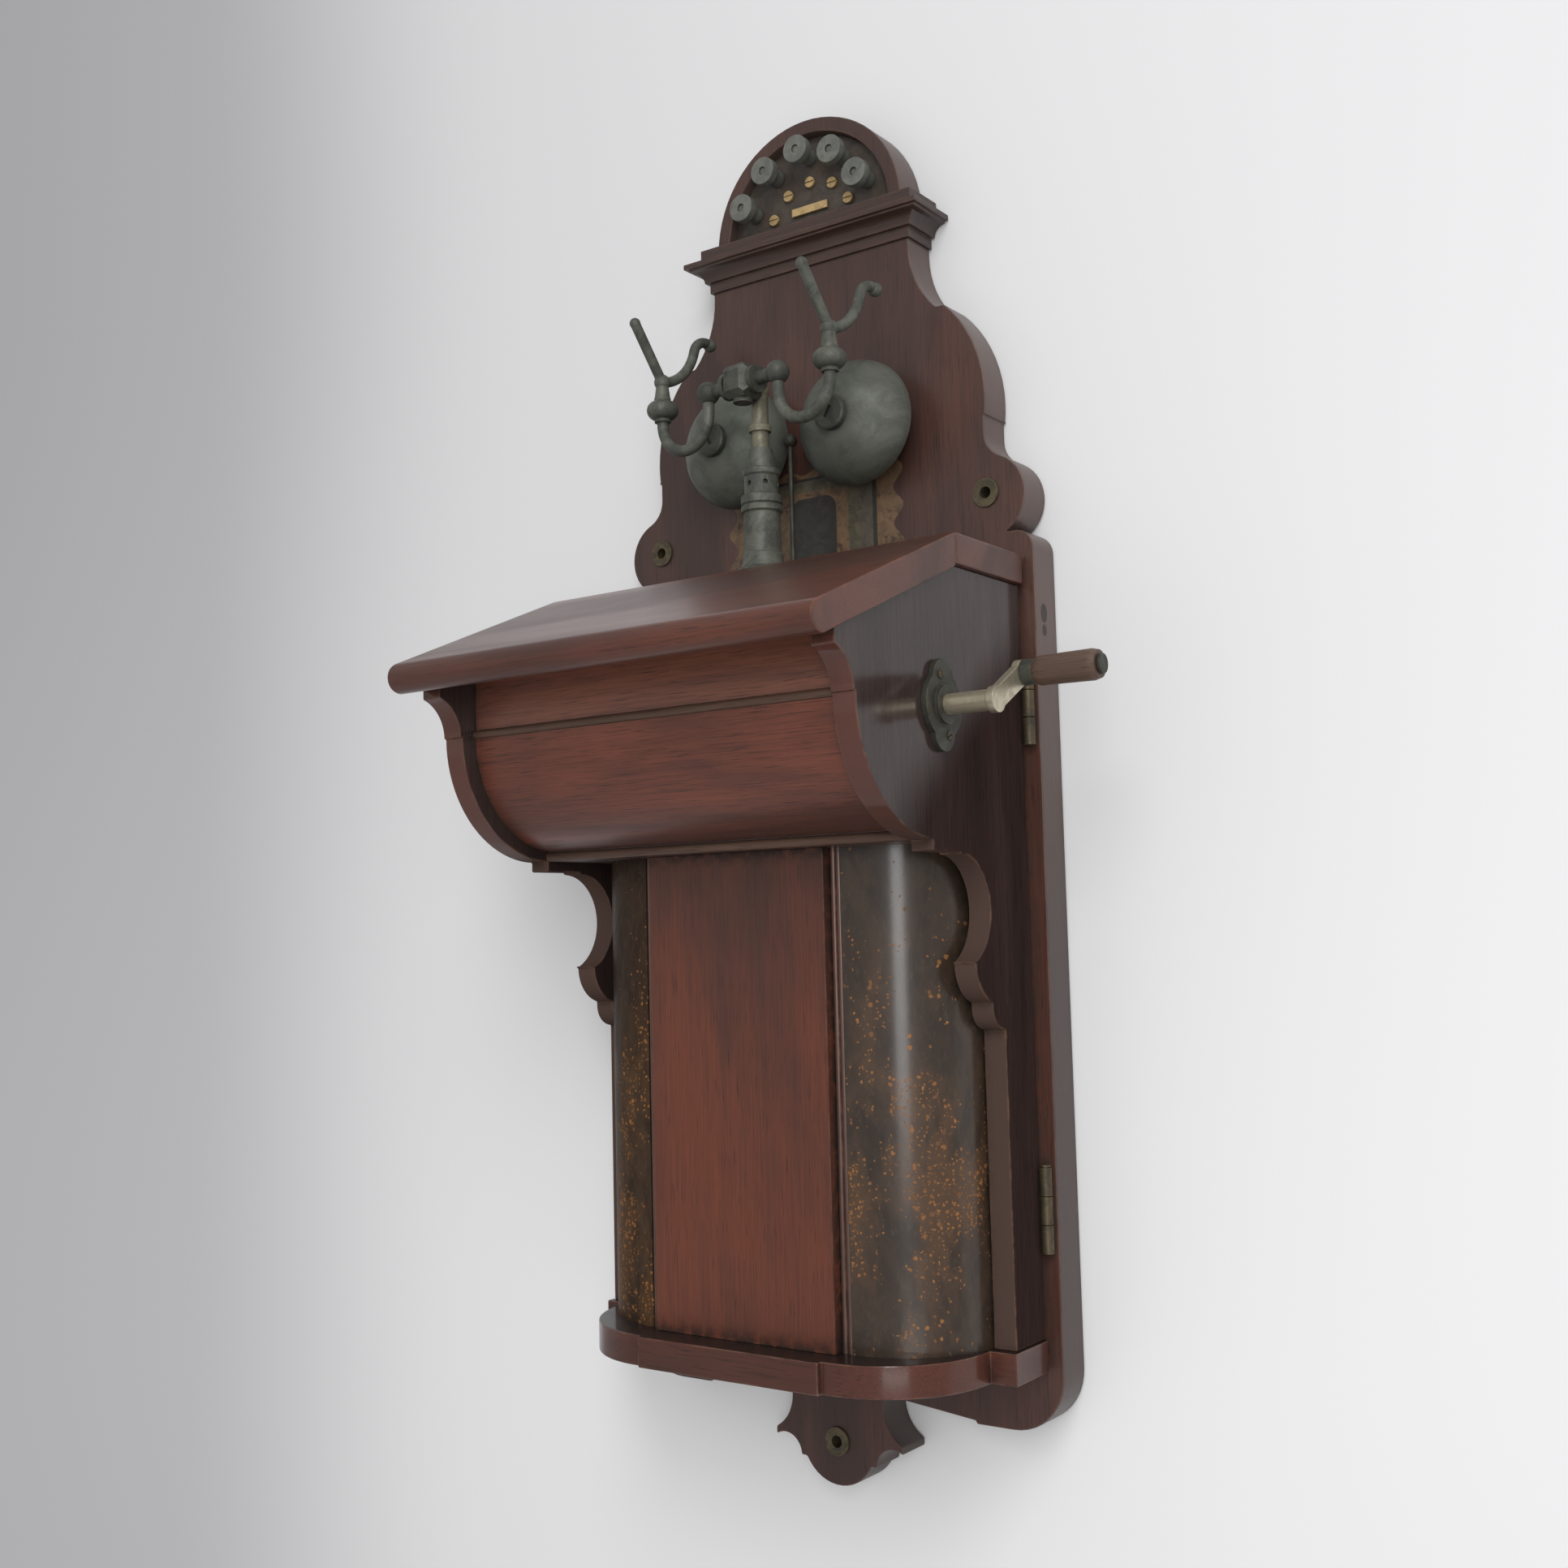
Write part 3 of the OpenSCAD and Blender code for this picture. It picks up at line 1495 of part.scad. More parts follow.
// Horseshoe outline in depth and height, legs down.
module horseshoe() {
  difference() {
    union() {
      translate([armature_depth, magnet_top_z])
        circle(magnet_hw, $fn = 96);
      translate([armature_depth - magnet_hw, floor_z])
        square([2 * magnet_hw, magnet_top_z - floor_z]);
    }
    translate([armature_depth, magnet_top_z])
      circle(pole_hw, $fn = 96);
    translate([armature_depth - pole_hw, floor_z - cut])
      square([2 * pole_hw, magnet_top_z - floor_z + cut]);
  }
}

module generator_magnets() {
  color("#3c2f2c")
    for (i = [0 : magnet_count - 1])
      let (x0 = magnets_x0 + i * (magnet_w + magnet_gap))
        profile_x(x0, x0 + magnet_w)
          horseshoe();
}

// Soft-iron cheeks that close round the armature.
module pole_pieces() {
  color("#57544e")
    for (side = [-1, 1])
      difference() {
        block(magnets_x0, magnets_x1,
              side < 0 ? armature_depth - pole_hw : armature_depth + pole_slot / 2,
              side < 0 ? armature_depth - pole_slot / 2 : armature_depth + pole_hw,
              floor_z, armature_z + armature_r + 2);
        bar_x(magnets_x0 - cut, magnets_x1 + cut, armature_depth, armature_z, armature_r + air_gap);
      }
}

// Brass end plates with the bearings of armature and crank shaft.
module generator_end_plates() {
  plate_hw = magnet_hw - 4;
  color("#a58a4e")
    for (x0 = [magnets_x0 - end_plate_t, magnets_x1])
      difference() {
        union() {
          block(x0, x0 + end_plate_t, armature_depth - plate_hw, armature_depth + plate_hw,
                floor_z, crank_z);
          if (x0 > 0)
            bar_x(x0, x0 + end_plate_t, crank_depth, crank_z, shaft_boss_r);
        }
        bar_x(x0 - cut, x0 + end_plate_t + cut, armature_depth, armature_z, bearing_r + run_fit);
        if (x0 > 0)
          bar_x(x0 - cut, x0 + end_plate_t + cut, crank_depth, crank_z, shaft_r + run_fit);
      }
}

// Shuttle armature: a slotted iron drum with its journals.
module armature_core() {
  drum_x0 = magnets_x0 + 1;
  drum_x1 = magnets_x1 - 1;
  slot_h = armature_r * 0.6;
  color("#6a675f")
    difference() {
      union() {
        bar_x(drum_x0, drum_x1, armature_depth, armature_z, armature_r);
        bar_x(magnets_x0 - end_plate_t - 2, drum_x0, armature_depth, armature_z, bearing_r);
        bar_x(drum_x1, gear_x + gear_t, armature_depth, armature_z, bearing_r);
      }
      both_slots(drum_x0, drum_x1, slot_h);
    }
}

// Winding slots above and below the web of the armature.
module both_slots(x0, x1, slot_h) {
  for (side = [-1, 1])
    translate([x0 - cut, -armature_depth - armature_r * 0.55, armature_z + (side < 0 ? -armature_r - cut : armature_r - slot_h)])
      cube([x1 - x0 + 2 * cut, armature_r * 1.1, slot_h + cut]);
}

// Wire wound along the slots of the armature.
module armature_winding() {
  drum_x0 = magnets_x0 + 1;
  drum_x1 = magnets_x1 - 1;
  slot_h = armature_r * 0.6;
  wire_hw = armature_r * 0.55 - 0.2;
  color("#8a4a2a")
    for (side = [-1, 1])
      block(drum_x0 + 2, drum_x1 - 2, armature_depth - wire_hw, armature_depth + wire_hw,
            armature_z + (side < 0 ? -armature_r + 2.4 : armature_r - slot_h),
            armature_z + (side < 0 ? -armature_r + slot_h : armature_r - 2.4));
}

module pinion() {
  color("#b59a5a")
    wheel_x(gear_x, armature_depth, armature_z)
      difference() {
        linear_extrude(gear_t)
          gear_outline(pinion_teeth, mesh_tooth + 180 + 180 / pinion_teeth);
        translate([0, 0, -cut])
          cylinder(h = gear_t + 2 * cut, r = bearing_r + seat_gap);
      }
}

// Speech circuit and batteries

// Induction coil with square end cheeks, lying on the floor of the upper case.
module induction_coil() {
  x = (magnets_x0 - inner_hw) / 2 - 6;
  cheek = induction_d + 6;
  depth0 = case_back + 10;
  cheek_t = 4;
  color("#3f5a3f")
    union() {
      for (d0 = [depth0, depth0 + induction_len - cheek_t])
        block(x - cheek / 2, x + cheek / 2, d0, d0 + cheek_t, floor_z, floor_z + cheek);
      bar_y(x, depth0 + cheek_t, depth0 + induction_len - cheek_t, floor_z + cheek / 2, induction_d / 2);
    }
}

// Places a shape at each of the two dry cells.
module at_cells() {
  both_sides()
    translate([cell_d / 2 + 3, -case_back - cell_d / 2 - 1, 0])
      children();
}

module battery_cells() {
  color("#8a7a58")
    at_cells()
      translate([0, 0, base_z])
        cylinder(h = cell_h, r = cell_d / 2);
}

// Brass posts on top of the cells: one at the centre, one near the rim.
module battery_terminals() {
  color("#b3985a")
    at_cells()
      for (x = [0, cell_d / 2 - 7])
        translate([x, 0, base_z + cell_h]) {
          cylinder(h = 4, r = 4.5);
          translate([0, 0, 4])
            cylinder(h = 6, r = 2);
        }
}

backboard();
cornice();
fixing_eyelets();
terminal_plate();
terminal_studs();
terminal_nuts();
arrester_screws();
earth_bar();
gong_left();
gong_right();
gong_posts();
gong_nuts();
ringer_frame();
ringer_coils();
ringer_magnet();
clapper_pivot();
hinge_board_leaves();
hinge_pins();
clapper_armature();
clapper_rod();
side_board_left();
side_board_right();
desk_top();
desk_shelf();
frieze_rail();
bead_moulding();
bulge_panel();
waist_moulding();
generator_shelf();
centre_panel();
panel_beads();
corner_panel_left();
corner_panel_right();
base_board();
hinge_case_leaves();
cradle_pillar();
hook_spring();
contact_block();
contact_springs();
induction_coil();
battery_cells();
battery_terminals();
generator_magnets();
pole_pieces();
generator_end_plates();
crank_escutcheon();
crank_shaft();
drive_gear();
crank_arm();
grip_pin();
crank_grip();
armature_core();
armature_winding();
pinion();
cradle_plunger();
cradle_crosshead();
cradle_arms();
cradle_forks();
hook_lever();
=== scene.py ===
"""Wall telephone with bells, cradle, crank and desk: finishes, small fittings, light and camera."""

import logging
import math
from dataclasses import dataclass
from enum import Enum
from functools import cache
from typing import Callable, Sequence, Union

import bmesh
import bpy
from mathutils import Matrix, Vector


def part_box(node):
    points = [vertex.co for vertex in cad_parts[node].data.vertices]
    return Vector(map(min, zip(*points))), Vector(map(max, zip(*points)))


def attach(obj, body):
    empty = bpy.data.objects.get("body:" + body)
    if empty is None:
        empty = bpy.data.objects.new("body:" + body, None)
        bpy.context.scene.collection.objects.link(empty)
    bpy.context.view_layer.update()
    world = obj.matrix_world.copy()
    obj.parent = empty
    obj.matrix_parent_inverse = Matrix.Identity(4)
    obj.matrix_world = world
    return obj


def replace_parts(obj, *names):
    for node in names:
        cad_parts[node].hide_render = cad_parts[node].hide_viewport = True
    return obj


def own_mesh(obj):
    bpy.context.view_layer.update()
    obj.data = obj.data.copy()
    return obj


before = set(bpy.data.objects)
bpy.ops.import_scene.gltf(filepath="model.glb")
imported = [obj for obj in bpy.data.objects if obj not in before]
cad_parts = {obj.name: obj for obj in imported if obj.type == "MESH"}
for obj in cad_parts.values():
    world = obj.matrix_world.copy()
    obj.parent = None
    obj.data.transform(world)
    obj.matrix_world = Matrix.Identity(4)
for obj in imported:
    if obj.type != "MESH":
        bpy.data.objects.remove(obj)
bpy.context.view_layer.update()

LOG = logging.getLogger("wall_telephone")
MM = 0.001
FULL_TURN = 2 * math.pi
QUARTER = math.pi / 2
RIGHT, FRONT, UP = Vector((1, 0, 0)), Vector((0, -1, 0)), Vector((0, 0, 1))
DRAWN_ALONG_X = Matrix(((0, 0, 1, 0), (1, 0, 0, 0), (0, 1, 0, 0), (0, 0, 0, 1)))

Socket = bpy.types.NodeSocket
Outputs = bpy.types.NodeOutputs
Tree = bpy.types.NodeTree
Piece = bpy.types.Object
Feed = Union[float, tuple, Socket]
Results = tuple[Socket, ...]
Skin = dict[str, Feed]
Colour = tuple[float, float, float]
Point2 = tuple[float, float]
Spot = tuple[float, float, float]


def srgb(*display: float) -> Colour:
    """Turns a display colour into a linear one.

    Args:
        *display: Red, green and blue from 0 to 255.

    Returns:
        The linear colour, each channel from 0 to 1.
    """
    shares = (value / 255 for value in display)
    return tuple(part / 12.92 if part <= 0.04045 else ((part + 0.055) / 1.055) ** 2.4 for part in shares)


class Grain(Enum):
    """Direction of the wood's grain, as the turn that lays it along Z."""

    ALONG_X = (0.0, QUARTER, 0.0)
    ALONG_Y = (QUARTER, 0.0, 0.0)
    ALONG_Z = (0.0, 0.0, 0.0)


class NodeBench:
    """Places and joins the nodes of one shader tree."""

    def __init__(self, tree: Tree) -> None:
        """Keeps the tree that the nodes go into."""
        self.tree = tree

    @classmethod
    def cleared(cls, owner: bpy.types.ID) -> "NodeBench":
        """Gives the bench of a material's or world's nodes, with none on it yet."""
        owner.use_nodes = True
        owner.node_tree.nodes.clear()
        return cls(owner.node_tree)

    def feed(self, socket: Socket, value: Feed) -> None:
        """Links a socket to a socket, or sets its plain value.

        Args:
            socket: The input that is fed.
            value: Another node's output, a number or a colour.
        """
        if isinstance(value, Socket):
            self.tree.links.new(value, socket)
        elif socket.type == "RGBA" and len(value) == 3:
            socket.default_value = (*value, 1.0)
        else:
            socket.default_value = value

    def put(self, kind: str, feeds: dict | None = None, **settings) -> bpy.types.Node:
        """Adds one node.

        Args:
            kind: Blender's name of the node type.
            feeds: What each input gets, by its name or number.
            **settings: Properties of the node.

        Returns:
            The new node.
        """
        node = self.tree.nodes.new(kind)
        for key, value in settings.items():
            setattr(node, key, value)
        for key, value in (feeds or {}).items():
            self.feed(node.inputs[key], value)
        return node

    def math(self, operation: str, first: Feed, second: Feed = 0.0, clamp: bool = False) -> Socket:
        """Adds a Math node and gives its result."""
        feeds = {0: first, 1: second}
        return self.put("ShaderNodeMath", feeds, operation=operation, use_clamp=clamp).outputs[0]

    def times(self, first: Feed, second: Feed, clamp: bool = False) -> Socket:
        """Multiplies two values."""
        return self.math("MULTIPLY", first, second, clamp)

    def plus(self, first: Feed, second: Feed, clamp: bool = False) -> Socket:
        """Adds two values."""
        return self.math("ADD", first, second, clamp)

    def minus(self, first: Feed, second: Feed) -> Socket:
        """Takes the second value from the first."""
        return self.math("SUBTRACT", first, second)

    def most(self, first: Feed, second: Feed) -> Socket:
        """Gives the greater of two values."""
        return self.math("MAXIMUM", first, second)

    def vector(self, operation: str, first: Feed, second: Feed) -> Socket:
        """Adds a Vector Math node and gives its result, a number for a dot product."""
        node = self.put("ShaderNodeVectorMath", {0: first, 1: second}, operation=operation)
        return node.outputs["Value" if operation == "DOT_PRODUCT" else 0]

    def mix(self, share: Feed, first: Feed, second: Feed, blend: str = "MIX") -> Socket:
        """Mixes two colours and gives the result."""
        feeds = {0: share, 6: first, 7: second}
        return self.put("ShaderNodeMix", data_type="RGBA", blend_type=blend, feeds=feeds).outputs[2]

    def span(self, value: Feed, low: Feed, high: Feed, start: float = 0.0, end: float = 1.0) -> Socket:
        """Maps a value smoothly from one span to another."""
        feeds = {0: value, 1: low, 2: high, 3: start, 4: end}
        return self.put("ShaderNodeMapRange", feeds, interpolation_type="SMOOTHSTEP").outputs[0]

    def stretch(self, vector: Feed, scale: tuple = (1.0, 1.0, 1.0), turn: tuple = (0.0, 0.0, 0.0)) -> Socket:
        """Scales and turns coordinates."""
        return self.put("ShaderNodeMapping", {"Vector": vector, "Scale": scale, "Rotation": turn}).outputs[0]

    def noise(
        self, vector: Feed, scale: Feed, detail: float = 2.0, rough: float = 0.5, bend: float = 0.0,
    ) -> Socket:
        """Adds a noise texture and gives its value."""
        feeds = {"Vector": vector, "Scale": scale, "Detail": detail, "Roughness": rough, "Distortion": bend}
        return self.put("ShaderNodeTexNoise", feeds).outputs[0]

    def bands(self, axis: str, feeds: dict) -> Socket:
        """Adds a texture of bands across an axis and gives its value."""
        return self.put("ShaderNodeTexWave", feeds, wave_type="BANDS", bands_direction=axis).outputs[1]

    def axes(self, vector: Feed) -> Outputs:
        """Gives a vector's three parts."""
        return self.put("ShaderNodeSeparateXYZ", {0: vector}).outputs

    def away_from(self, axis: Colour) -> Socket:
        """Gives the mask of the faces that do not look along an axis of the object."""
        normal = self.put("ShaderNodeTexCoord").outputs["Normal"]
        return self.effect(Effects.turned_away, Normal=normal, Axis=axis)[0]

    def rubbed(self, place: Socket, radius: float, amount: float) -> Socket:
        """Gives the mask of rubbed edges."""
        return self.effect(Effects.edge_wear, Vector=place, Radius=radius, Amount=amount)[0]

    def soiled_and_shaded(self, place: Socket, reach: float, amount: float) -> Socket:
        """Gives the mask of dirt and painted shade in the corners."""
        return self.effect(Effects.crevice_dirt_and_shade, Vector=place, Reach=reach, Amount=amount)[0]

    def mottled(self, place: Socket, scale: float, colours: tuple, amount: float) -> Outputs:
        """Gives a mottled surface of three colours: its ground, its blots and its bloom."""
        tones = dict(zip(("Metal", "Oxide", "Bloom"), colours))
        return self.effect(Effects.patina, Vector=place, Scale=scale, Amount=amount, **tones)

    def effect(self, group: Callable[[], Tree], **feeds: Feed) -> Outputs:
        """Places a shared node group with its own values and gives its results."""
        return self.put("ShaderNodeGroup", node_tree=group(), feeds=feeds).outputs


def shared(inputs: str, outputs: str) -> Callable:
    """Makes a function that joins nodes give a shared node group, built on first use.

    Args:
        inputs: Name and kind letter of each input, such as "Vector:v".
        outputs: The same of each output, in the order of the function's results.

    Returns:
        The decorator.
    """
    kinds = {"f": "NodeSocketFloat", "c": "NodeSocketColor", "v": "NodeSocketVector"}

    def wrap(join: Callable) -> Callable[[], Tree]:
        """Gives the function that hands out the group."""

        @cache
        def group() -> Tree:
            """Builds the group."""
            tree = bpy.data.node_groups.new(join.__name__, "ShaderNodeTree")
            for names, side in ((inputs, "INPUT"), (outputs, "OUTPUT")):
                for label, kind in (entry.split(":") for entry in names.split()):
                    tree.interface.new_socket(label, in_out=side, socket_type=kinds[kind])
            bench = NodeBench(tree)
            results = join(bench, bench.put("NodeGroupInput").outputs)
            bench.put("NodeGroupOutput", dict(enumerate(results)))
            return tree

        return group

    return wrap


class Effects:
    """Shader node groups that several finishes share. Each has its bench and its inputs to work with."""

    FIGURE_SHARE, STREAK_SHARE, RING_SHARE = 0.76, 0.16, 0.08
    FIBRE_SHARE, PORE_SHARE = 0.28, 0.55
    FIBRE_RISE, PORE_SINK = 0.35, 0.6
    FINER, BLOOM_SHARE = 7.0, 0.6
    FADE_WANDER = 6 * MM
    FLAKE_NUDGE = 0.0016

    @staticmethod
    @shared("Vector:v Early:c Late:c Pore:c Figure:f Seed:f", "Color:c Rough:f Height:f")
    def wood_grain(bench: NodeBench, given: Outputs) -> Results:
        """Rings, fibres and pores of a board whose grain lies along Z."""
        shift = bench.put("ShaderNodeCombineXYZ", {axis: given["Seed"] for axis in range(3)}).outputs[0]
        place = bench.vector("ADD", given["Vector"], shift)
        broad = bench.noise(bench.stretch(place, (1.0, 1.0, 0.24)), 13.0, detail=4.0, rough=0.58, bend=1.0)
        streak = bench.noise(bench.stretch(place, (1.0, 1.0, 0.05)), 120.0, detail=3.0, rough=0.6, bend=0.3)
        drawn = bench.stretch(place, (1.0, 0.6, 0.06))
        waves = {"Vector": drawn, "Scale": 15.0, "Distortion": 9.0, "Detail": 2.0, "Detail Scale": 0.9}
        rings = bench.bands("X", waves)
        fibre = bench.noise(bench.stretch(place, (1.0, 1.0, 0.02)), 1100.0, rough=0.6)
        speckle = bench.noise(bench.stretch(place, (1.0, 1.0, 0.035)), 1700.0, detail=1.0)
        pores = bench.span(speckle, 0.60, 0.70)
        figure = bench.span(broad, 0.34, 0.66, 0.0, Effects.FIGURE_SHARE)
        tone = bench.plus(figure, bench.span(streak, 0.35, 0.65, 0.0, Effects.STREAK_SHARE))
        tone = bench.plus(tone, bench.times(rings, Effects.RING_SHARE))
        tone = bench.plus(bench.times(bench.minus(tone, 0.5), given["Figure"]), 0.5, clamp=True)
        colour = bench.mix(tone, given["Early"], given["Late"])
        colour = bench.mix(bench.span(fibre, 0.35, 0.7, 0.0, Effects.FIBRE_SHARE), colour, given["Pore"])
        colour = bench.mix(bench.times(pores, Effects.PORE_SHARE), colour, given["Pore"])
        height = bench.minus(bench.times(fibre, Effects.FIBRE_RISE), bench.times(pores, Effects.PORE_SINK))
        return colour, bench.span(broad, 0.3, 0.7), height

    @staticmethod
    @shared("Vector:v Radius:f Amount:f", "Mask:f")
    def edge_wear(bench: NodeBench, given: Outputs) -> Results:
        """Mask of rubbed edges, broken up by noise."""
        rounded = bench.put("ShaderNodeBevel", {"Radius": given["Radius"]}, samples=4).outputs[0]
        straight = bench.put("ShaderNodeNewGeometry").outputs["Normal"]
        edge = bench.span(bench.minus(1.0, bench.vector("DOT_PRODUCT", rounded, straight)), 0.01, 0.16)
        patchy = bench.span(bench.noise(given["Vector"], 75.0, detail=4.0, rough=0.65), 0.40, 0.62)
        return (bench.times(bench.times(edge, patchy), given["Amount"], clamp=True),)

    @staticmethod
    @shared("Vector:v Reach:f Amount:f", "Mask:f")
    def crevice_dirt_and_shade(bench: NodeBench, given: Outputs) -> Results:
        """Mask of dirt and painted shade in corners and grooves, where ambient occlusion finds them closed
        in.
        """
        reach = {"Distance": given["Reach"]}
        open_sky = bench.put("ShaderNodeAmbientOcclusion", reach, samples=6).outputs["AO"]
        shut = bench.span(open_sky, 0.35, 0.95, 1.0, 0.0)
        patchy = bench.span(bench.noise(given["Vector"], 160.0, detail=3.0, rough=0.6), 0.30, 0.62)
        return (bench.times(bench.times(shut, patchy), given["Amount"], clamp=True),)

    @staticmethod
    @shared("Vector:v Scale:f Metal:c Oxide:c Bloom:c Amount:f", "Color:c Rough:f Height:f")
    def patina(bench: NodeBench, given: Outputs) -> Results:
        """Mottled oxide and pale bloom on old metal."""
        blot = bench.noise(given["Vector"], given["Scale"], detail=5.0, rough=0.62, bend=0.7)
        fine_scale = bench.times(given["Scale"], Effects.FINER)
        fine = bench.noise(given["Vector"], fine_scale, detail=4.0, rough=0.7)
        rust = bench.times(bench.span(blot, 0.36, 0.64), given["Amount"], clamp=True)
        pale = bench.times(bench.span(fine, 0.52, 0.76), given["Amount"], clamp=True)
        colour = bench.mix(rust, given["Metal"], given["Oxide"])
        colour = bench.mix(bench.times(pale, Effects.BLOOM_SHARE), colour, given["Bloom"])
        rough = bench.plus(bench.times(rust, 0.6), bench.times(pale, 0.4))
        return colour, rough, bench.plus(bench.times(fine, 0.6), bench.times(blot, 0.4))

    @staticmethod
    @shared("Vector:v Scale:f Cover:f", "Mask:f Tint:f")
    def specks(bench: NodeBench, given: Outputs) -> Results:
        """Small round flakes scattered over a surface, as a mask and a random tint."""
        ripple = {"Vector": given["Vector"], "Scale": 700.0, "Detail": 2.0}
        wobble = bench.put("ShaderNodeTexNoise", ripple).outputs[1]
        nudge = bench.vector("MULTIPLY", wobble, (Effects.FLAKE_NUDGE,) * 3)
        feeds = {"Vector": bench.vector("ADD", given["Vector"], nudge), "Scale": given["Scale"]}
        cells = bench.put("ShaderNodeTexVoronoi", feeds, feature="F1").outputs
        pick = bench.put("ShaderNodeSeparateColor", {0: cells["Color"]}).outputs
        chosen = bench.math("LESS_THAN", pick[0], given["Cover"])
        size = bench.span(pick[1], 0.0, 1.0, 0.16, 0.50)
        flake = bench.span(bench.minus(size, cells["Distance"]), 0.0, 0.08)
        return bench.times(flake, chosen), pick[2]

    @staticmethod
    @shared("Normal:v Axis:v", "Mask:f")
    def turned_away(bench: NodeBench, given: Outputs) -> Results:
        """Mask of the faces that do not look along an axis, such as a board's edges."""
        along = bench.vector("DOT_PRODUCT", given["Normal"], given["Axis"])
        return (bench.span(bench.math("ABSOLUTE", along), 0.45, 0.80, 1.0, 0.0),)

    @staticmethod
    @shared("Vector:v From:f To:f", "Mask:f")
    def height_fade(bench: NodeBench, given: Outputs) -> Results:
        """Mask that grows from one height to another, broken up by broad noise."""
        wander = Effects.FADE_WANDER
        cloud = bench.span(bench.noise(given["Vector"], 9.0), 0.3, 0.7, -wander, wander)
        height = bench.plus(bench.axes(given["Vector"])[2], cloud)
        feeds = {0: height, 1: given["From"], 2: given["To"]}
        fade = bench.put("ShaderNodeMapRange", feeds, interpolation_type="LINEAR", clamp=True)
        return (fade.outputs[0],)

    @staticmethod
    @shared("Vector:v Turns:f", "Line:f")
    def winding(bench: NodeBench, given: Outputs) -> Results:
        """Fine parallel turns of covered wire, laid along Z."""
        waves = {"Vector": given["Vector"], "Scale": given["Turns"], "Distortion": 0.6, "Detail": 1.0}
        return (bench.bands("Z", waves),)


@dataclass(frozen=True)
class Finish:
    """A surface finish that becomes one material."""

    name: str
    slot: str

    @cache
    def material(self) -> bpy.types.Material:
        """Gives the finish's material, made on first use.

        Returns:
            The material.
        """
        made = bpy.data.materials.new(self.name)
        bench = NodeBench.cleared(made)
        skin = self.paint(bench, bench.put("ShaderNodeTexCoord").outputs["Object"])
        shader = bench.put("ShaderNodeBsdfPrincipled", skin)
        bench.put("ShaderNodeOutputMaterial", {0: shader.outputs[0]})
        return made

    def paint(self, bench: NodeBench, place: Socket) -> Skin:
        """Gives what the Principled shader gets.

        Args:
            bench: Bench of the material's nodes.
            place: Object coordinates.

        Returns:
            The feed of each of the shader's inputs, by name.
        """
        raise NotImplementedError

    @staticmethod
    def bump(bench: NodeBench, height: Feed, depth: float, strength: float) -> Socket:
        """Turns a height into a normal."""
        feeds = {"Height": height, "Distance": depth, "Strength": strength}
        return bench.put("ShaderNodeBump", feeds).outputs[0]


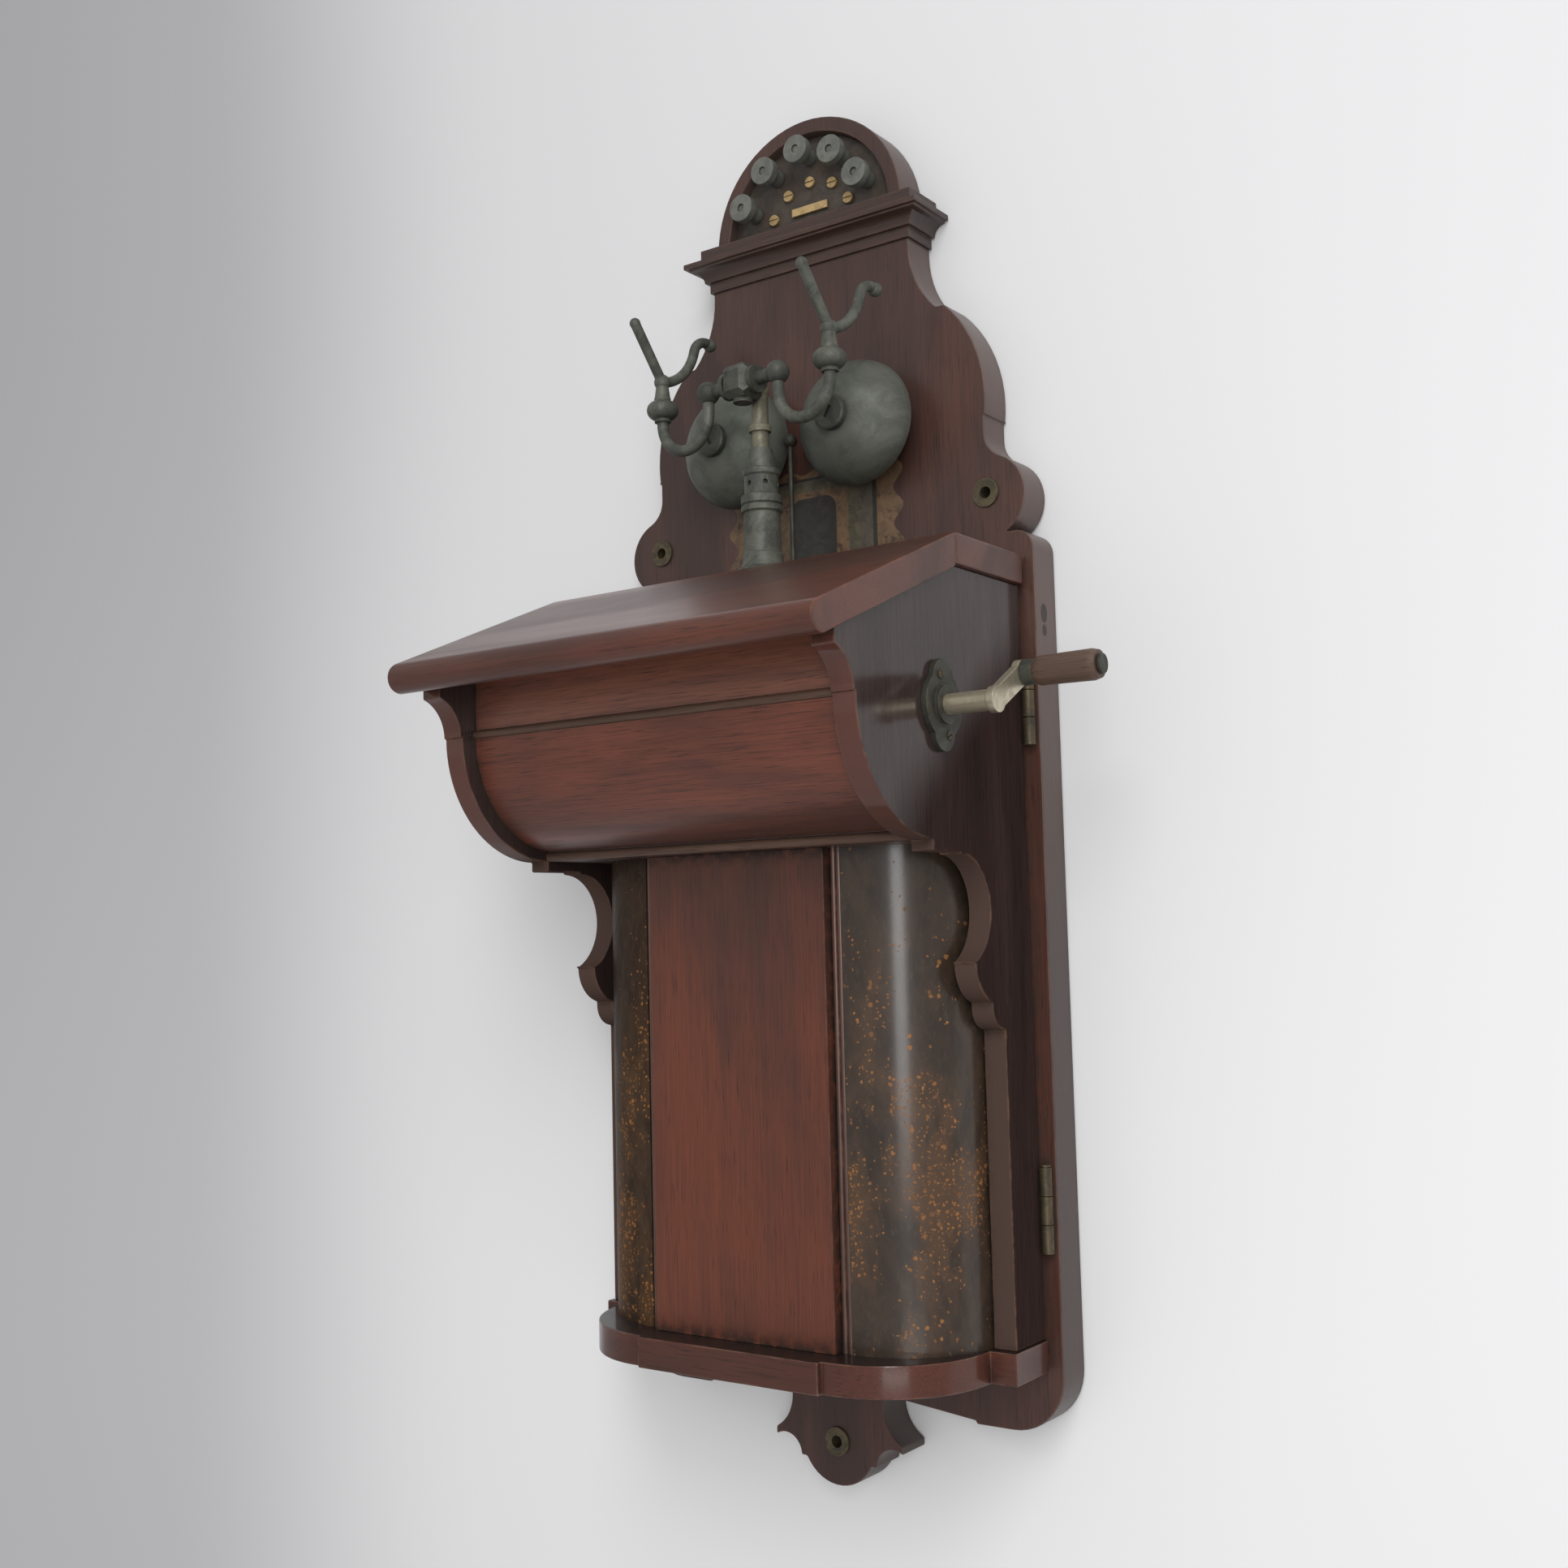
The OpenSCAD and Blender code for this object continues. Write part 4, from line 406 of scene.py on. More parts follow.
@dataclass(frozen=True)
class WoodFinish(Finish):
    """Varnished wood with grain, rubbed edges, and dirt and painted shade in its corners."""

    early: Colour
    late: Colour
    pore: Colour
    grain: Grain = Grain.ALONG_Z
    figure: float = 1.0
    seed: float = 0.0
    roughness: float = 0.36
    coat: float = 0.25
    wear: float = 0.5
    bare: Colour = srgb(150, 112, 88)
    dirt_and_shade: float = 0.7
    soil_and_shade: Colour = srgb(44, 38, 32)
    dirt_shade_reach: float = 7 * MM
    specular: float = 0.5
    coat_rough: float = 0.16
    # Edge tones hold the edges' own colour mixed with a painted sheen, greyer on the board.
    edge_tone: Colour | None = None
    edge_low: Colour | None = None
    face_axis: Colour = (0.0, 1.0, 0.0)
    # foot_tone darkens the colour towards the foot: painted shade where the sheen fades.
    foot_tone: Colour | None = None
    foot_span: tuple[float, float] = (-110 * MM, -230 * MM)
    foot_lean: float = 0.0
    level_face_shade: float = 0.0

    RUB_REACH, RUB_SHARE = 1.6 * MM, 0.6
    EDGE_SHARE = 0.7
    SMOOTHER, ROUGHER, DIRT_ROUGH = 0.05, 0.08, 0.25
    RELIEF, RELIEF_SHARE = 0.25 * MM, 0.22

    def paint(self, bench: NodeBench, place: Socket) -> Skin:
        """Gives the shader grain, wear, and dirt and painted shade."""
        grain = bench.effect(
            Effects.wood_grain, Vector=bench.stretch(place, turn=self.grain.value), Early=self.early,
            Late=self.late, Pore=self.pore, Figure=self.figure, Seed=self.seed,
        )
        rubbed = bench.rubbed(place, self.RUB_REACH, self.wear)
        # Dirt and painted shade: darker where ambient occlusion finds corners and grooves.
        dirt_shade_mask = bench.soiled_and_shaded(place, self.dirt_shade_reach, self.dirt_and_shade)
        # Faces that look up or down can be darkened too: painted shade on the base's top.
        if self.level_face_shade:
            level_shade_mask = bench.span(bench.away_from((0.0, 0.0, 1.0)), 0.0, 1.0, self.level_face_shade, 0.0)
            dirt_shade_mask = bench.most(dirt_shade_mask, level_shade_mask)
        colour, coat = self.toned(bench, place, grain["Color"])
        colour = bench.mix(bench.times(rubbed, self.RUB_SHARE), colour, self.bare)
        ends = self.roughness - self.SMOOTHER, self.roughness + self.ROUGHER
        rough = bench.span(grain["Rough"], 0.0, 1.0, *ends)
        return {
            "Base Color": bench.mix(dirt_shade_mask, colour, self.soil_and_shade),
            "Roughness": bench.plus(rough, bench.times(dirt_shade_mask, self.DIRT_ROUGH), clamp=True),
            "Specular IOR Level": self.specular,
            "Coat Weight": coat,
            "Coat Roughness": self.coat_rough,
            "Normal": self.bump(bench, grain["Height"], self.RELIEF, self.RELIEF_SHARE),
        }

    def toned(self, bench: NodeBench, place: Socket, colour: Socket) -> tuple[Socket, Feed]:
        """Dulls the varnish and darkens the colour towards the foot, a painted shade, and tones the board's
        edges.

        Args:
            bench: Bench of the material's nodes.
            place: Object coordinates.
            colour: Colour of the grain.

        Returns:
            The toned colour and the weight of the coat.
        """
        coat: Feed = self.coat
        if self.foot_tone:
            leaning = bench.stretch(place, turn=(self.foot_lean, 0.0, 0.0))
            start, end = self.foot_span
            foot = bench.effect(Effects.height_fade, Vector=leaning, From=start, To=end)[0]
            # Painted shade: the colour darkens towards the foot, where the varnish's sheen fades.
            colour = bench.mix(foot, colour, bench.mix(1.0, colour, self.foot_tone, "MULTIPLY"))
            coat = bench.span(foot, 0.0, 1.0, self.coat, 0.0)
        # Edges take their own tone with a painted sheen; edge_low gives the tone lower down.
        if self.edge_tone:
            tone = bench.mix(foot, self.edge_tone, self.edge_low) if self.edge_low else self.edge_tone
            colour = bench.mix(bench.times(bench.away_from(self.face_axis), self.EDGE_SHARE), colour, tone)
        return colour, coat


@dataclass(frozen=True)
class MetalFinish(Finish):
    """Old metal or plating with mottled oxide and brighter rubbed edges."""

    metal: Colour
    oxide: Colour
    bloom: Colour
    bright: Colour
    metallic: float = 0.7
    roughness: float = 0.45
    blot: float = 55.0
    amount: float = 0.8
    wear: float = 0.5
    dirt_and_shade: float = 0.6
    soil_and_shade: Colour = srgb(36, 35, 30)

    RUB_REACH, RUB_GLOSS = 0.7 * MM, -0.12
    DIRT_REACH, DULLING = 4 * MM, 0.22
    OXIDE_METALLIC = 0.55
    RELIEF, PITTING = 0.3 * MM, 0.25

    def paint(self, bench: NodeBench, place: Socket) -> Skin:
        """Gives the shader patina, rubbed edges, and dirt and painted shade in its corners."""
        layer = bench.mottled(place, self.blot, (self.metal, self.oxide, self.bloom), self.amount)
        rubbed = bench.rubbed(place, self.RUB_REACH, self.wear)
        # Dirt and painted shade: darker where ambient occlusion finds corners.
        dirt_shade_mask = bench.soiled_and_shaded(place, self.DIRT_REACH, self.dirt_and_shade)
        colour = bench.mix(rubbed, layer["Color"], self.bright)
        dull = bench.times(bench.plus(layer["Rough"], dirt_shade_mask), self.DULLING)
        gloss = bench.times(rubbed, self.RUB_GLOSS)
        dimmed = self.metallic * self.OXIDE_METALLIC
        return {
            "Base Color": bench.mix(dirt_shade_mask, colour, self.soil_and_shade),
            "Roughness": bench.plus(bench.plus(dull, self.roughness), gloss, clamp=True),
            "Metallic": bench.span(layer["Rough"], 0.0, 1.0, self.metallic, dimmed),
            "Normal": self.bump(bench, layer["Height"], self.RELIEF, self.PITTING),
        }


@dataclass(frozen=True)
class JapanFinish(Finish):
    """Dark glossy varnish over curved panels, flaked to orange specks towards the foot."""

    ground: Colour = srgb(63, 50, 40)
    deep: Colour = srgb(44, 35, 29)
    bloom: Colour = srgb(78, 68, 56)
    flake: Colour = srgb(158, 108, 62)
    rust: Colour = srgb(106, 74, 48)
    soil_and_shade: Colour = srgb(34, 29, 25)
    coat: float = 0.62
    gloss: float = 0.2
    flaked_from: float = -196 * MM
    flaked_to: float = -319 * MM
    roughness: float = 0.37

    BLOT, MOTTLING = 60.0, 0.9
    DIRT_REACH, DIRT_SHARE = 8 * MM, 0.7
    COVER, LARGE_SHARE = 0.9, 0.45
    LARGE_SCALE, SMALL_SCALE = 380.0, 640.0
    STAIN_SHARE, FLAKE_SHARE = 0.4, 0.8
    GROUND_ROUGH, FLAKE_ROUGH = 0.12, 0.3
    COAT_ROUGH, FLAKED_COAT = 0.2, 0.2
    GROUND_RISE, RELIEF, RELIEF_SHARE = 0.4, 0.2 * MM, 0.35

    def paint(self, bench: NodeBench, place: Socket) -> Skin:
        """Gives the shader the mottled ground and its flakes."""
        colours = self.ground, self.deep, self.bloom
        ground = bench.mottled(bench.stretch(place, (1.0, 1.0, 0.45)), self.BLOT, colours, self.MOTTLING)
        low = bench.span(bench.axes(place)[2], self.flaked_from, self.flaked_to, 0.05, 1.0)
        drift = bench.noise(bench.stretch(place, (1.0, 1.0, 0.55)), 30.0, detail=4.0, rough=0.65)
        cover = bench.times(bench.times(bench.span(drift, 0.42, 0.60), low), self.COVER)
        few = bench.times(cover, self.LARGE_SHARE)
        large = bench.effect(Effects.specks, Vector=place, Scale=self.LARGE_SCALE, Cover=few)
        small = bench.effect(Effects.specks, Vector=place, Scale=self.SMALL_SCALE, Cover=cover)
        flaked = bench.most(large["Mask"], small["Mask"])
        tint = bench.mix(large["Tint"], self.rust, self.flake)
        # Dirt and painted shade: darker where ambient occlusion finds corners.
        dirt_shade_mask = bench.soiled_and_shaded(place, self.DIRT_REACH, self.DIRT_SHARE)
        stained = bench.mix(bench.times(cover, self.STAIN_SHARE), ground["Color"], self.rust)
        colour = bench.mix(bench.times(flaked, self.FLAKE_SHARE), stained, tint)
        rough = bench.times(ground["Rough"], self.GROUND_ROUGH)
        rough = bench.plus(rough, bench.times(flaked, self.FLAKE_ROUGH))
        pits = bench.minus(bench.times(ground["Height"], self.GROUND_RISE), flaked)
        return {
            "Base Color": bench.mix(dirt_shade_mask, colour, self.soil_and_shade),
            "Roughness": bench.plus(rough, self.roughness, clamp=True),
            "Specular IOR Level": self.gloss,
            "Coat Weight": bench.span(flaked, 0.0, 1.0, self.coat, self.FLAKED_COAT * self.coat),
            "Coat Roughness": self.COAT_ROUGH,
            "Normal": self.bump(bench, pits, self.RELIEF, self.RELIEF_SHARE),
        }


@dataclass(frozen=True)
class GiltFinish(Finish):
    """Thin gilt and paint, worn through in places to the wood below."""

    leaf: Colour
    shade: Colour
    below: Colour = srgb(62, 44, 38)
    worn: float = 0.5
    metallic: float = 0.35

    BLOT, MOTTLING = 140.0, 0.9
    SMOOTH, DULL = 0.42, 0.62
    RELIEF, RELIEF_SHARE = 0.15 * MM, 0.4

    def paint(self, bench: NodeBench, place: Socket) -> Skin:
        """Gives the shader the leaf and its worn places."""
        leaf = bench.mottled(place, self.BLOT, (self.leaf, self.shade, self.leaf), self.MOTTLING)
        holes = bench.noise(place, 95.0, detail=5.0, rough=0.7, bend=0.4)
        gone = bench.span(holes, 0.62 - 0.2 * self.worn, 0.72 - 0.16 * self.worn)
        return {
            "Base Color": bench.mix(gone, leaf["Color"], self.below),
            "Metallic": bench.span(gone, 0.0, 1.0, self.metallic, 0.0),
            "Roughness": bench.span(leaf["Rough"], 0.0, 1.0, self.SMOOTH, self.DULL),
            "Normal": self.bump(bench, bench.minus(1.0, gone), self.RELIEF, self.RELIEF_SHARE),
        }


@dataclass(frozen=True)
class MouldFinish(Finish):
    """Plain moulded, waxed or fibrous stuff with a mottled surface."""

    body: Colour
    mottle: Colour
    roughness: float = 0.5
    scale: float = 120.0
    grain: float = 0.2
    soil_and_shade: Colour = srgb(30, 27, 24)

    MOTTLING = 0.8
    DIRT_REACH, DIRT_SHARE = 5 * MM, 0.5
    SMOOTHER, ROUGHER = 0.08, 0.12
    RELIEF = 0.2 * MM

    def paint(self, bench: NodeBench, place: Socket) -> Skin:
        """Gives the shader the mottled surface."""
        stuff = bench.mottled(place, self.scale, (self.body, self.mottle, self.body), self.MOTTLING)
        # Dirt and painted shade: darker where ambient occlusion finds corners.
        dirt_shade_mask = bench.soiled_and_shaded(place, self.DIRT_REACH, self.DIRT_SHARE)
        ends = self.roughness - self.SMOOTHER, self.roughness + self.ROUGHER
        return {
            "Base Color": bench.mix(dirt_shade_mask, stuff["Color"], self.soil_and_shade),
            "Roughness": bench.span(stuff["Rough"], 0.0, 1.0, *ends),
            "Normal": self.bump(bench, stuff["Height"], self.RELIEF, self.grain),
        }


@dataclass(frozen=True)
class WoundFinish(Finish):
    """Covered wire wound in fine turns."""

    thread: Colour
    gap: Colour
    grain: Grain = Grain.ALONG_Z
    turns: float = 260.0

    STAIN_SHARE, SHEEN = 0.5, 0.2
    GAP_ROUGH, THREAD_ROUGH = 0.85, 0.62
    RELIEF, RELIEF_SHARE = 0.2 * MM, 0.6

    def paint(self, bench: NodeBench, place: Socket) -> Skin:
        """Gives the shader the turns and their soiling."""
        along = bench.stretch(place, turn=self.grain.value)
        line = bench.effect(Effects.winding, Vector=along, Turns=self.turns)[0]
        cloud = bench.noise(place, 70.0, detail=4.0, rough=0.6)
        colour = bench.mix(bench.span(line, 0.05, 0.45), self.gap, self.thread)
        return {
            "Base Color": bench.mix(bench.span(cloud, 0.35, 0.7, 0.0, self.STAIN_SHARE), colour, self.gap),
            "Roughness": bench.span(line, 0.0, 1.0, self.GAP_ROUGH, self.THREAD_ROUGH),
            "Sheen Weight": self.SHEEN,
            "Normal": self.bump(bench, line, self.RELIEF, self.RELIEF_SHARE),
        }


class Finishes:
    """The finishes of this telephone by the piece that shows them."""

    # The board's paler grey edges are a painted sheen, darker lower down; it darkens very slightly towards
    # the foot, a painted shade.
    board = WoodFinish(
        "board_varnish", "board_wood", srgb(86, 55, 46), srgb(58, 38, 33), srgb(36, 25, 22), seed=0.31,
        roughness=0.40, coat=0.12, wear=0.55, edge_tone=srgb(93, 76, 70), edge_low=srgb(64, 55, 51),
        foot_tone=srgb(250, 248, 248),
    )
    cornice = WoodFinish(
        "cornice_varnish", "board_wood", srgb(70, 48, 40), srgb(46, 34, 30), srgb(29, 22, 20),
        grain=Grain.ALONG_X, seed=1.70, roughness=0.38, coat=0.12, wear=0.9, bare=srgb(106, 81, 63),
    )
    # The front panel's strong dark soiling at its foot is painted shade along the base, mixed with dirt.
    front = WoodFinish(
        "front_panel_varnish", "panel_wood", srgb(109, 58, 41), srgb(72, 46, 39), srgb(48, 30, 25),
        figure=1.15, seed=2.13, roughness=0.42, coat=0.1, dirt_and_shade=1.4, soil_and_shade=srgb(36, 28, 23),
        dirt_shade_reach=11 * MM, specular=0.3,
    )
    bulge = WoodFinish(
        "bulge_panel_varnish", "panel_wood", srgb(120, 66, 50), srgb(76, 47, 40), srgb(46, 30, 26),
        grain=Grain.ALONG_X, figure=1.1, seed=3.47, roughness=0.40, coat=0.08, specular=0.35,
    )
    frieze = WoodFinish(
        "frieze_varnish", "panel_wood", srgb(132, 80, 61), srgb(94, 60, 49), srgb(52, 35, 30),
        grain=Grain.ALONG_X, figure=1.1, seed=3.91, roughness=0.40, coat=0.15,
    )
    desk = WoodFinish(
        "desk_varnish", "desk_wood", srgb(98, 55, 42), srgb(67, 41, 34), srgb(43, 28, 24),
        grain=Grain.ALONG_X, figure=1.15, seed=4.91, roughness=0.34, coat=0.44, wear=0.9,
        bare=srgb(150, 94, 62), specular=0.2, coat_rough=0.36,
    )
    # Side boards: the colour darkens towards the foot, a painted shade where the sheen fades; the grey lower
    # edges are a painted sheen.
    side = WoodFinish(
        "side_board_varnish", "case_wood", srgb(70, 55, 52), srgb(52, 42, 40), srgb(34, 27, 26), seed=5.77,
        roughness=0.40, coat=0.85, wear=0.8, specular=0.0, coat_rough=0.14, edge_tone=srgb(96, 56, 46),
        edge_low=srgb(90, 72, 65), face_axis=(1.0, 0.0, 0.0), foot_tone=srgb(232, 228, 228),
        foot_span=(-22 * MM, -60 * MM), foot_lean=-0.695,
    )
    trim = WoodFinish(
        "moulding_varnish", "case_wood", srgb(88, 58, 48), srgb(60, 41, 36), srgb(36, 26, 23),
        grain=Grain.ALONG_X, seed=6.23, roughness=0.38, coat=0.2, wear=0.9, dirt_and_shade=0.6, soil_and_shade=srgb(72, 62, 51),
        dirt_shade_reach=2.5 * MM,
    )
    bead = WoodFinish(
        "bead_varnish", "panel_wood", srgb(100, 64, 52), srgb(68, 45, 38), srgb(42, 29, 25), seed=7.19,
        roughness=0.34, wear=0.9,
    )
    # The base's dark top face and corners are painted shade beside the panels, mixed with dirt.
    base = WoodFinish(
        "base_varnish", "case_wood", srgb(90, 50, 38), srgb(62, 36, 30), srgb(38, 24, 21),
        grain=Grain.ALONG_X, seed=8.41, roughness=0.34, coat=0.5, wear=1.0, dirt_and_shade=1.2, soil_and_shade=srgb(30, 23, 20),
        dirt_shade_reach=12 * MM, specular=0.2, coat_rough=0.15, level_face_shade=0.9,
    )
    dusty = WoodFinish(
        "dusty_moulding_varnish", "case_wood", srgb(114, 88, 72), srgb(78, 58, 48), srgb(46, 35, 30),
        grain=Grain.ALONG_X, seed=9.07, roughness=0.46, coat=0.0, wear=0.9, bare=srgb(140, 116, 94),
        dirt_and_shade=0.5, soil_and_shade=srgb(56, 46, 38), dirt_shade_reach=2 * MM, specular=0.3,
    )
    inner = WoodFinish(
        "inner_plain_wood", "case_wood", srgb(138, 104, 76), srgb(108, 78, 56), srgb(74, 52, 38),
        grain=Grain.ALONG_X, figure=0.9, seed=9.35, roughness=0.6, coat=0.0, wear=0.2,
    )
    plug = WoodFinish(
        "edge_plug_wood", "board_wood", srgb(70, 62, 58), srgb(54, 48, 45), srgb(36, 31, 29),
        grain=Grain.ALONG_Y, seed=9.63, roughness=0.5, coat=0.0, wear=0.2,
    )
    corner = JapanFinish("corner_panel_japan", "corner_veneer")
    far_corner = JapanFinish("far_corner_panel_japan", "corner_veneer", coat=0.05, gloss=0.02)
    grip = WoodFinish(
        "turned_grip_wood", "grip_wood", srgb(104, 81, 67), srgb(76, 60, 51), srgb(50, 40, 34),
        grain=Grain.ALONG_X, seed=1.11, roughness=0.46, coat=0.05, wear=0.1, bare=srgb(112, 90, 70),
        specular=0.3,
    )
    gong = MetalFinish(
        "gong_oxide", "gong_metal", srgb(95, 98, 89), srgb(74, 76, 69), srgb(104, 106, 95),
        srgb(136, 122, 84), metallic=0.35, roughness=0.50, blot=48.0, amount=0.9, wear=0.7,
    )
    cradle = MetalFinish(
        "cradle_oxide", "cradle_metal", srgb(92, 94, 85), srgb(60, 62, 56), srgb(108, 108, 95),
        srgb(124, 118, 94), metallic=0.25, roughness=0.54, blot=85.0, amount=0.9, wear=0.6,
    )
    crosshead = MetalFinish(
        "crosshead_oxide", "cradle_metal", srgb(72, 74, 66), srgb(48, 50, 44), srgb(85, 85, 75),
        srgb(112, 106, 84), metallic=0.25, roughness=0.54, blot=85.0, amount=0.9, wear=0.6,
    )
    plunger = MetalFinish(
        "plunger_rubbed_brass", "cradle_metal", srgb(126, 121, 101), srgb(90, 87, 74), srgb(134, 130, 111),
        srgb(158, 150, 122), metallic=0.35, roughness=0.46, blot=130.0, wear=0.6,
    )
    nut = MetalFinish(
        "terminal_nut_oxide", "terminal_metal", srgb(112, 113, 106), srgb(84, 86, 81), srgb(122, 123, 114),
        srgb(136, 134, 120), metallic=0.30, roughness=0.55, blot=120.0,
    )
    gilt = MetalFinish(
        "arrester_brass", "gilt_brass", srgb(202, 174, 124), srgb(152, 122, 82), srgb(212, 190, 146),
        srgb(226, 206, 160), metallic=0.55, roughness=0.42, blot=190.0, amount=0.7, wear=0.6,
    )
    brass = MetalFinish(
        "dull_brass", "aged_brass", srgb(134, 114, 74), srgb(82, 70, 48), srgb(120, 112, 88),
        srgb(176, 154, 104), metallic=0.75, roughness=0.42, blot=110.0, wear=0.8,
    )
    bronze = MetalFinish(
        "hinge_bronze", "aged_brass", srgb(92, 80, 60), srgb(58, 51, 40), srgb(90, 84, 68),
        srgb(136, 118, 82), metallic=0.55, roughness=0.46, blot=120.0, amount=0.9, wear=0.7,
    )
    eyelet = MetalFinish(
        "eyelet_brass", "aged_brass", srgb(98, 88, 66), srgb(62, 56, 46), srgb(104, 98, 80),
        srgb(150, 134, 98), metallic=0.6, roughness=0.46, blot=160.0, amount=0.9, wear=0.8,
    )
    nickel = MetalFinish(
        "crank_nickel", "nickel", srgb(206, 198, 176), srgb(146, 134, 108), srgb(190, 182, 160),
        srgb(224, 218, 200), metallic=0.8, roughness=0.27, blot=90.0, amount=0.6, dirt_and_shade=0.4,
    )
    iron = MetalFinish(
        "escutcheon_iron", "dark_iron", srgb(66, 66, 58), srgb(46, 45, 40), srgb(80, 80, 69),
        srgb(126, 110, 76), metallic=0.45, roughness=0.46, blot=90.0, amount=0.9, wear=0.8,
    )
    steel = MetalFinish(
        "grey_spring_steel", "spring_steel", srgb(164, 164, 158), srgb(110, 106, 98), srgb(176, 172, 160),
        srgb(206, 206, 200), metallic=0.9, roughness=0.32, blot=140.0, amount=0.5,
    )
    magnet = MetalFinish(
        "red_magnet_paint", "magnet_paint", srgb(104, 44, 36), srgb(70, 32, 28), srgb(120, 62, 50),
        srgb(120, 116, 110), metallic=0.1, roughness=0.48, blot=70.0, wear=0.8,
    )
    ebonite = MouldFinish("dull_ebonite", "ebonite", srgb(50, 46, 42), srgb(34, 31, 28), roughness=0.46)
    plate = MouldFinish("terminal_plate_fibre", "ebonite", srgb(72, 62, 54), srgb(52, 45, 39))
    wrap = MouldFinish(
        "waxed_cell_wrap", "cell_wrap", srgb(150, 132, 98), srgb(112, 96, 70), roughness=0.62, scale=60.0,
        grain=0.35,
    )
    cotton = WoundFinish(
        "coil_cotton_green", "coil_cotton", srgb(88, 104, 78), srgb(34, 40, 30), grain=Grain.ALONG_Y,
    )
    silk = WoundFinish("coil_silk_red", "coil_cotton", srgb(122, 56, 42), srgb(52, 24, 20))
    enamel = WoundFinish(
        "armature_wire", "coil_cotton", srgb(138, 78, 46), srgb(56, 32, 22), grain=Grain.ALONG_Y,
    )
    old_gold = GiltFinish("worn_gilt", "gilt_brass", srgb(114, 90, 66), srgb(90, 72, 54), metallic=0.15)
    olive = GiltFinish(
        "worn_olive", "board_wood", srgb(92, 84, 64), srgb(66, 62, 50), worn=0.45, metallic=0.05,
    )
    green_field = GiltFinish(
        "worn_green_field", "board_wood", srgb(82, 75, 63), srgb(64, 59, 50), worn=0.35, metallic=0.0,
    )
    black_line = GiltFinish(
        "worn_black_line", "board_wood", srgb(46, 44, 38), srgb(36, 34, 30), worn=0.3, metallic=0.0,
    )


def placed(name: str, data: bpy.types.ID) -> Piece:
    """Puts a mesh, lamp or camera into the scene."""
    piece = bpy.data.objects.new(name, data)
    bpy.context.scene.collection.objects.link(piece)
    return piece


def facing(spot: Vector, outward: Vector, turn: float = 0.0) -> Matrix:
    """Gives a place whose Z axis looks outward.

    Args:
        spot: The place.
        outward: Direction of the local Z axis.
        turn: Turn about that axis in radians.

    Returns:
        The matrix.
    """
    there = Matrix.Translation(spot) @ outward.to_track_quat("Z", "Y").to_matrix().to_4x4()
    return there @ Matrix.Rotation(turn, 4, "Z")


def round_points(radius: float, count: int, start: float = 0.0, sweep: float = FULL_TURN) -> list[Point2]:
    """Gives points along a circle or an arc of it.

    Args:
        radius: Radius of the circle.
        count: Number of points.
        start: Angle of the first point.
        sweep: Angle that the points cover.

    Returns:
        The points.
    """
    steps = count if math.isclose(sweep, FULL_TURN) else count - 1
    angles = [start + sweep * step / steps for step in range(count)]
    return [(radius * math.cos(a), radius * math.sin(a)) for a in angles]


def arc(centre: Point2, radius: float, count: int, start: float, sweep: float) -> list[Point2]:
    """Gives points along an arc about a centre."""
    return [(centre[0] + x, centre[1] + y) for x, y in round_points(radius, count, start, sweep)]


def oval_points(half_width: float, half_height: float, count: int = 36) -> list[Point2]:
    """Gives the points of an oval."""
    return [(half_width * x, half_height * y) for x, y in round_points(1.0, count)]


def mirrored(plan: Sequence[Point2]) -> list[Point2]:
    """Gives a plan on the other side of the centre line."""
    return [(-x, y) for x, y in plan]


def wound_profile(radius: float, ridge: float, low: float, high: float, turns: int) -> list[Point2]:
    """Gives the turned profile of a winding, one rounded ridge for each turn.

    Args:
        radius: Radius at the bottom of the grooves.
        ridge: Height of a turn above them.
        low: Lower end.
        high: Upper end.
        turns: Number of turns.

    Returns:
        Radius and height of each step, closed at both ends.
    """
    pitch = (high - low) / turns
    swell = ((0.0, 0.0), (0.25, 0.75), (0.5, 1.0), (0.75, 0.75))
    steps = [(turn + share, rise) for turn in range(turns) for share, rise in swell]
    ridges = [(radius + ridge * rise, low + pitch * along) for along, rise in steps]
    return [(0.0, low), *ridges, (radius, high), (0.0, high)]


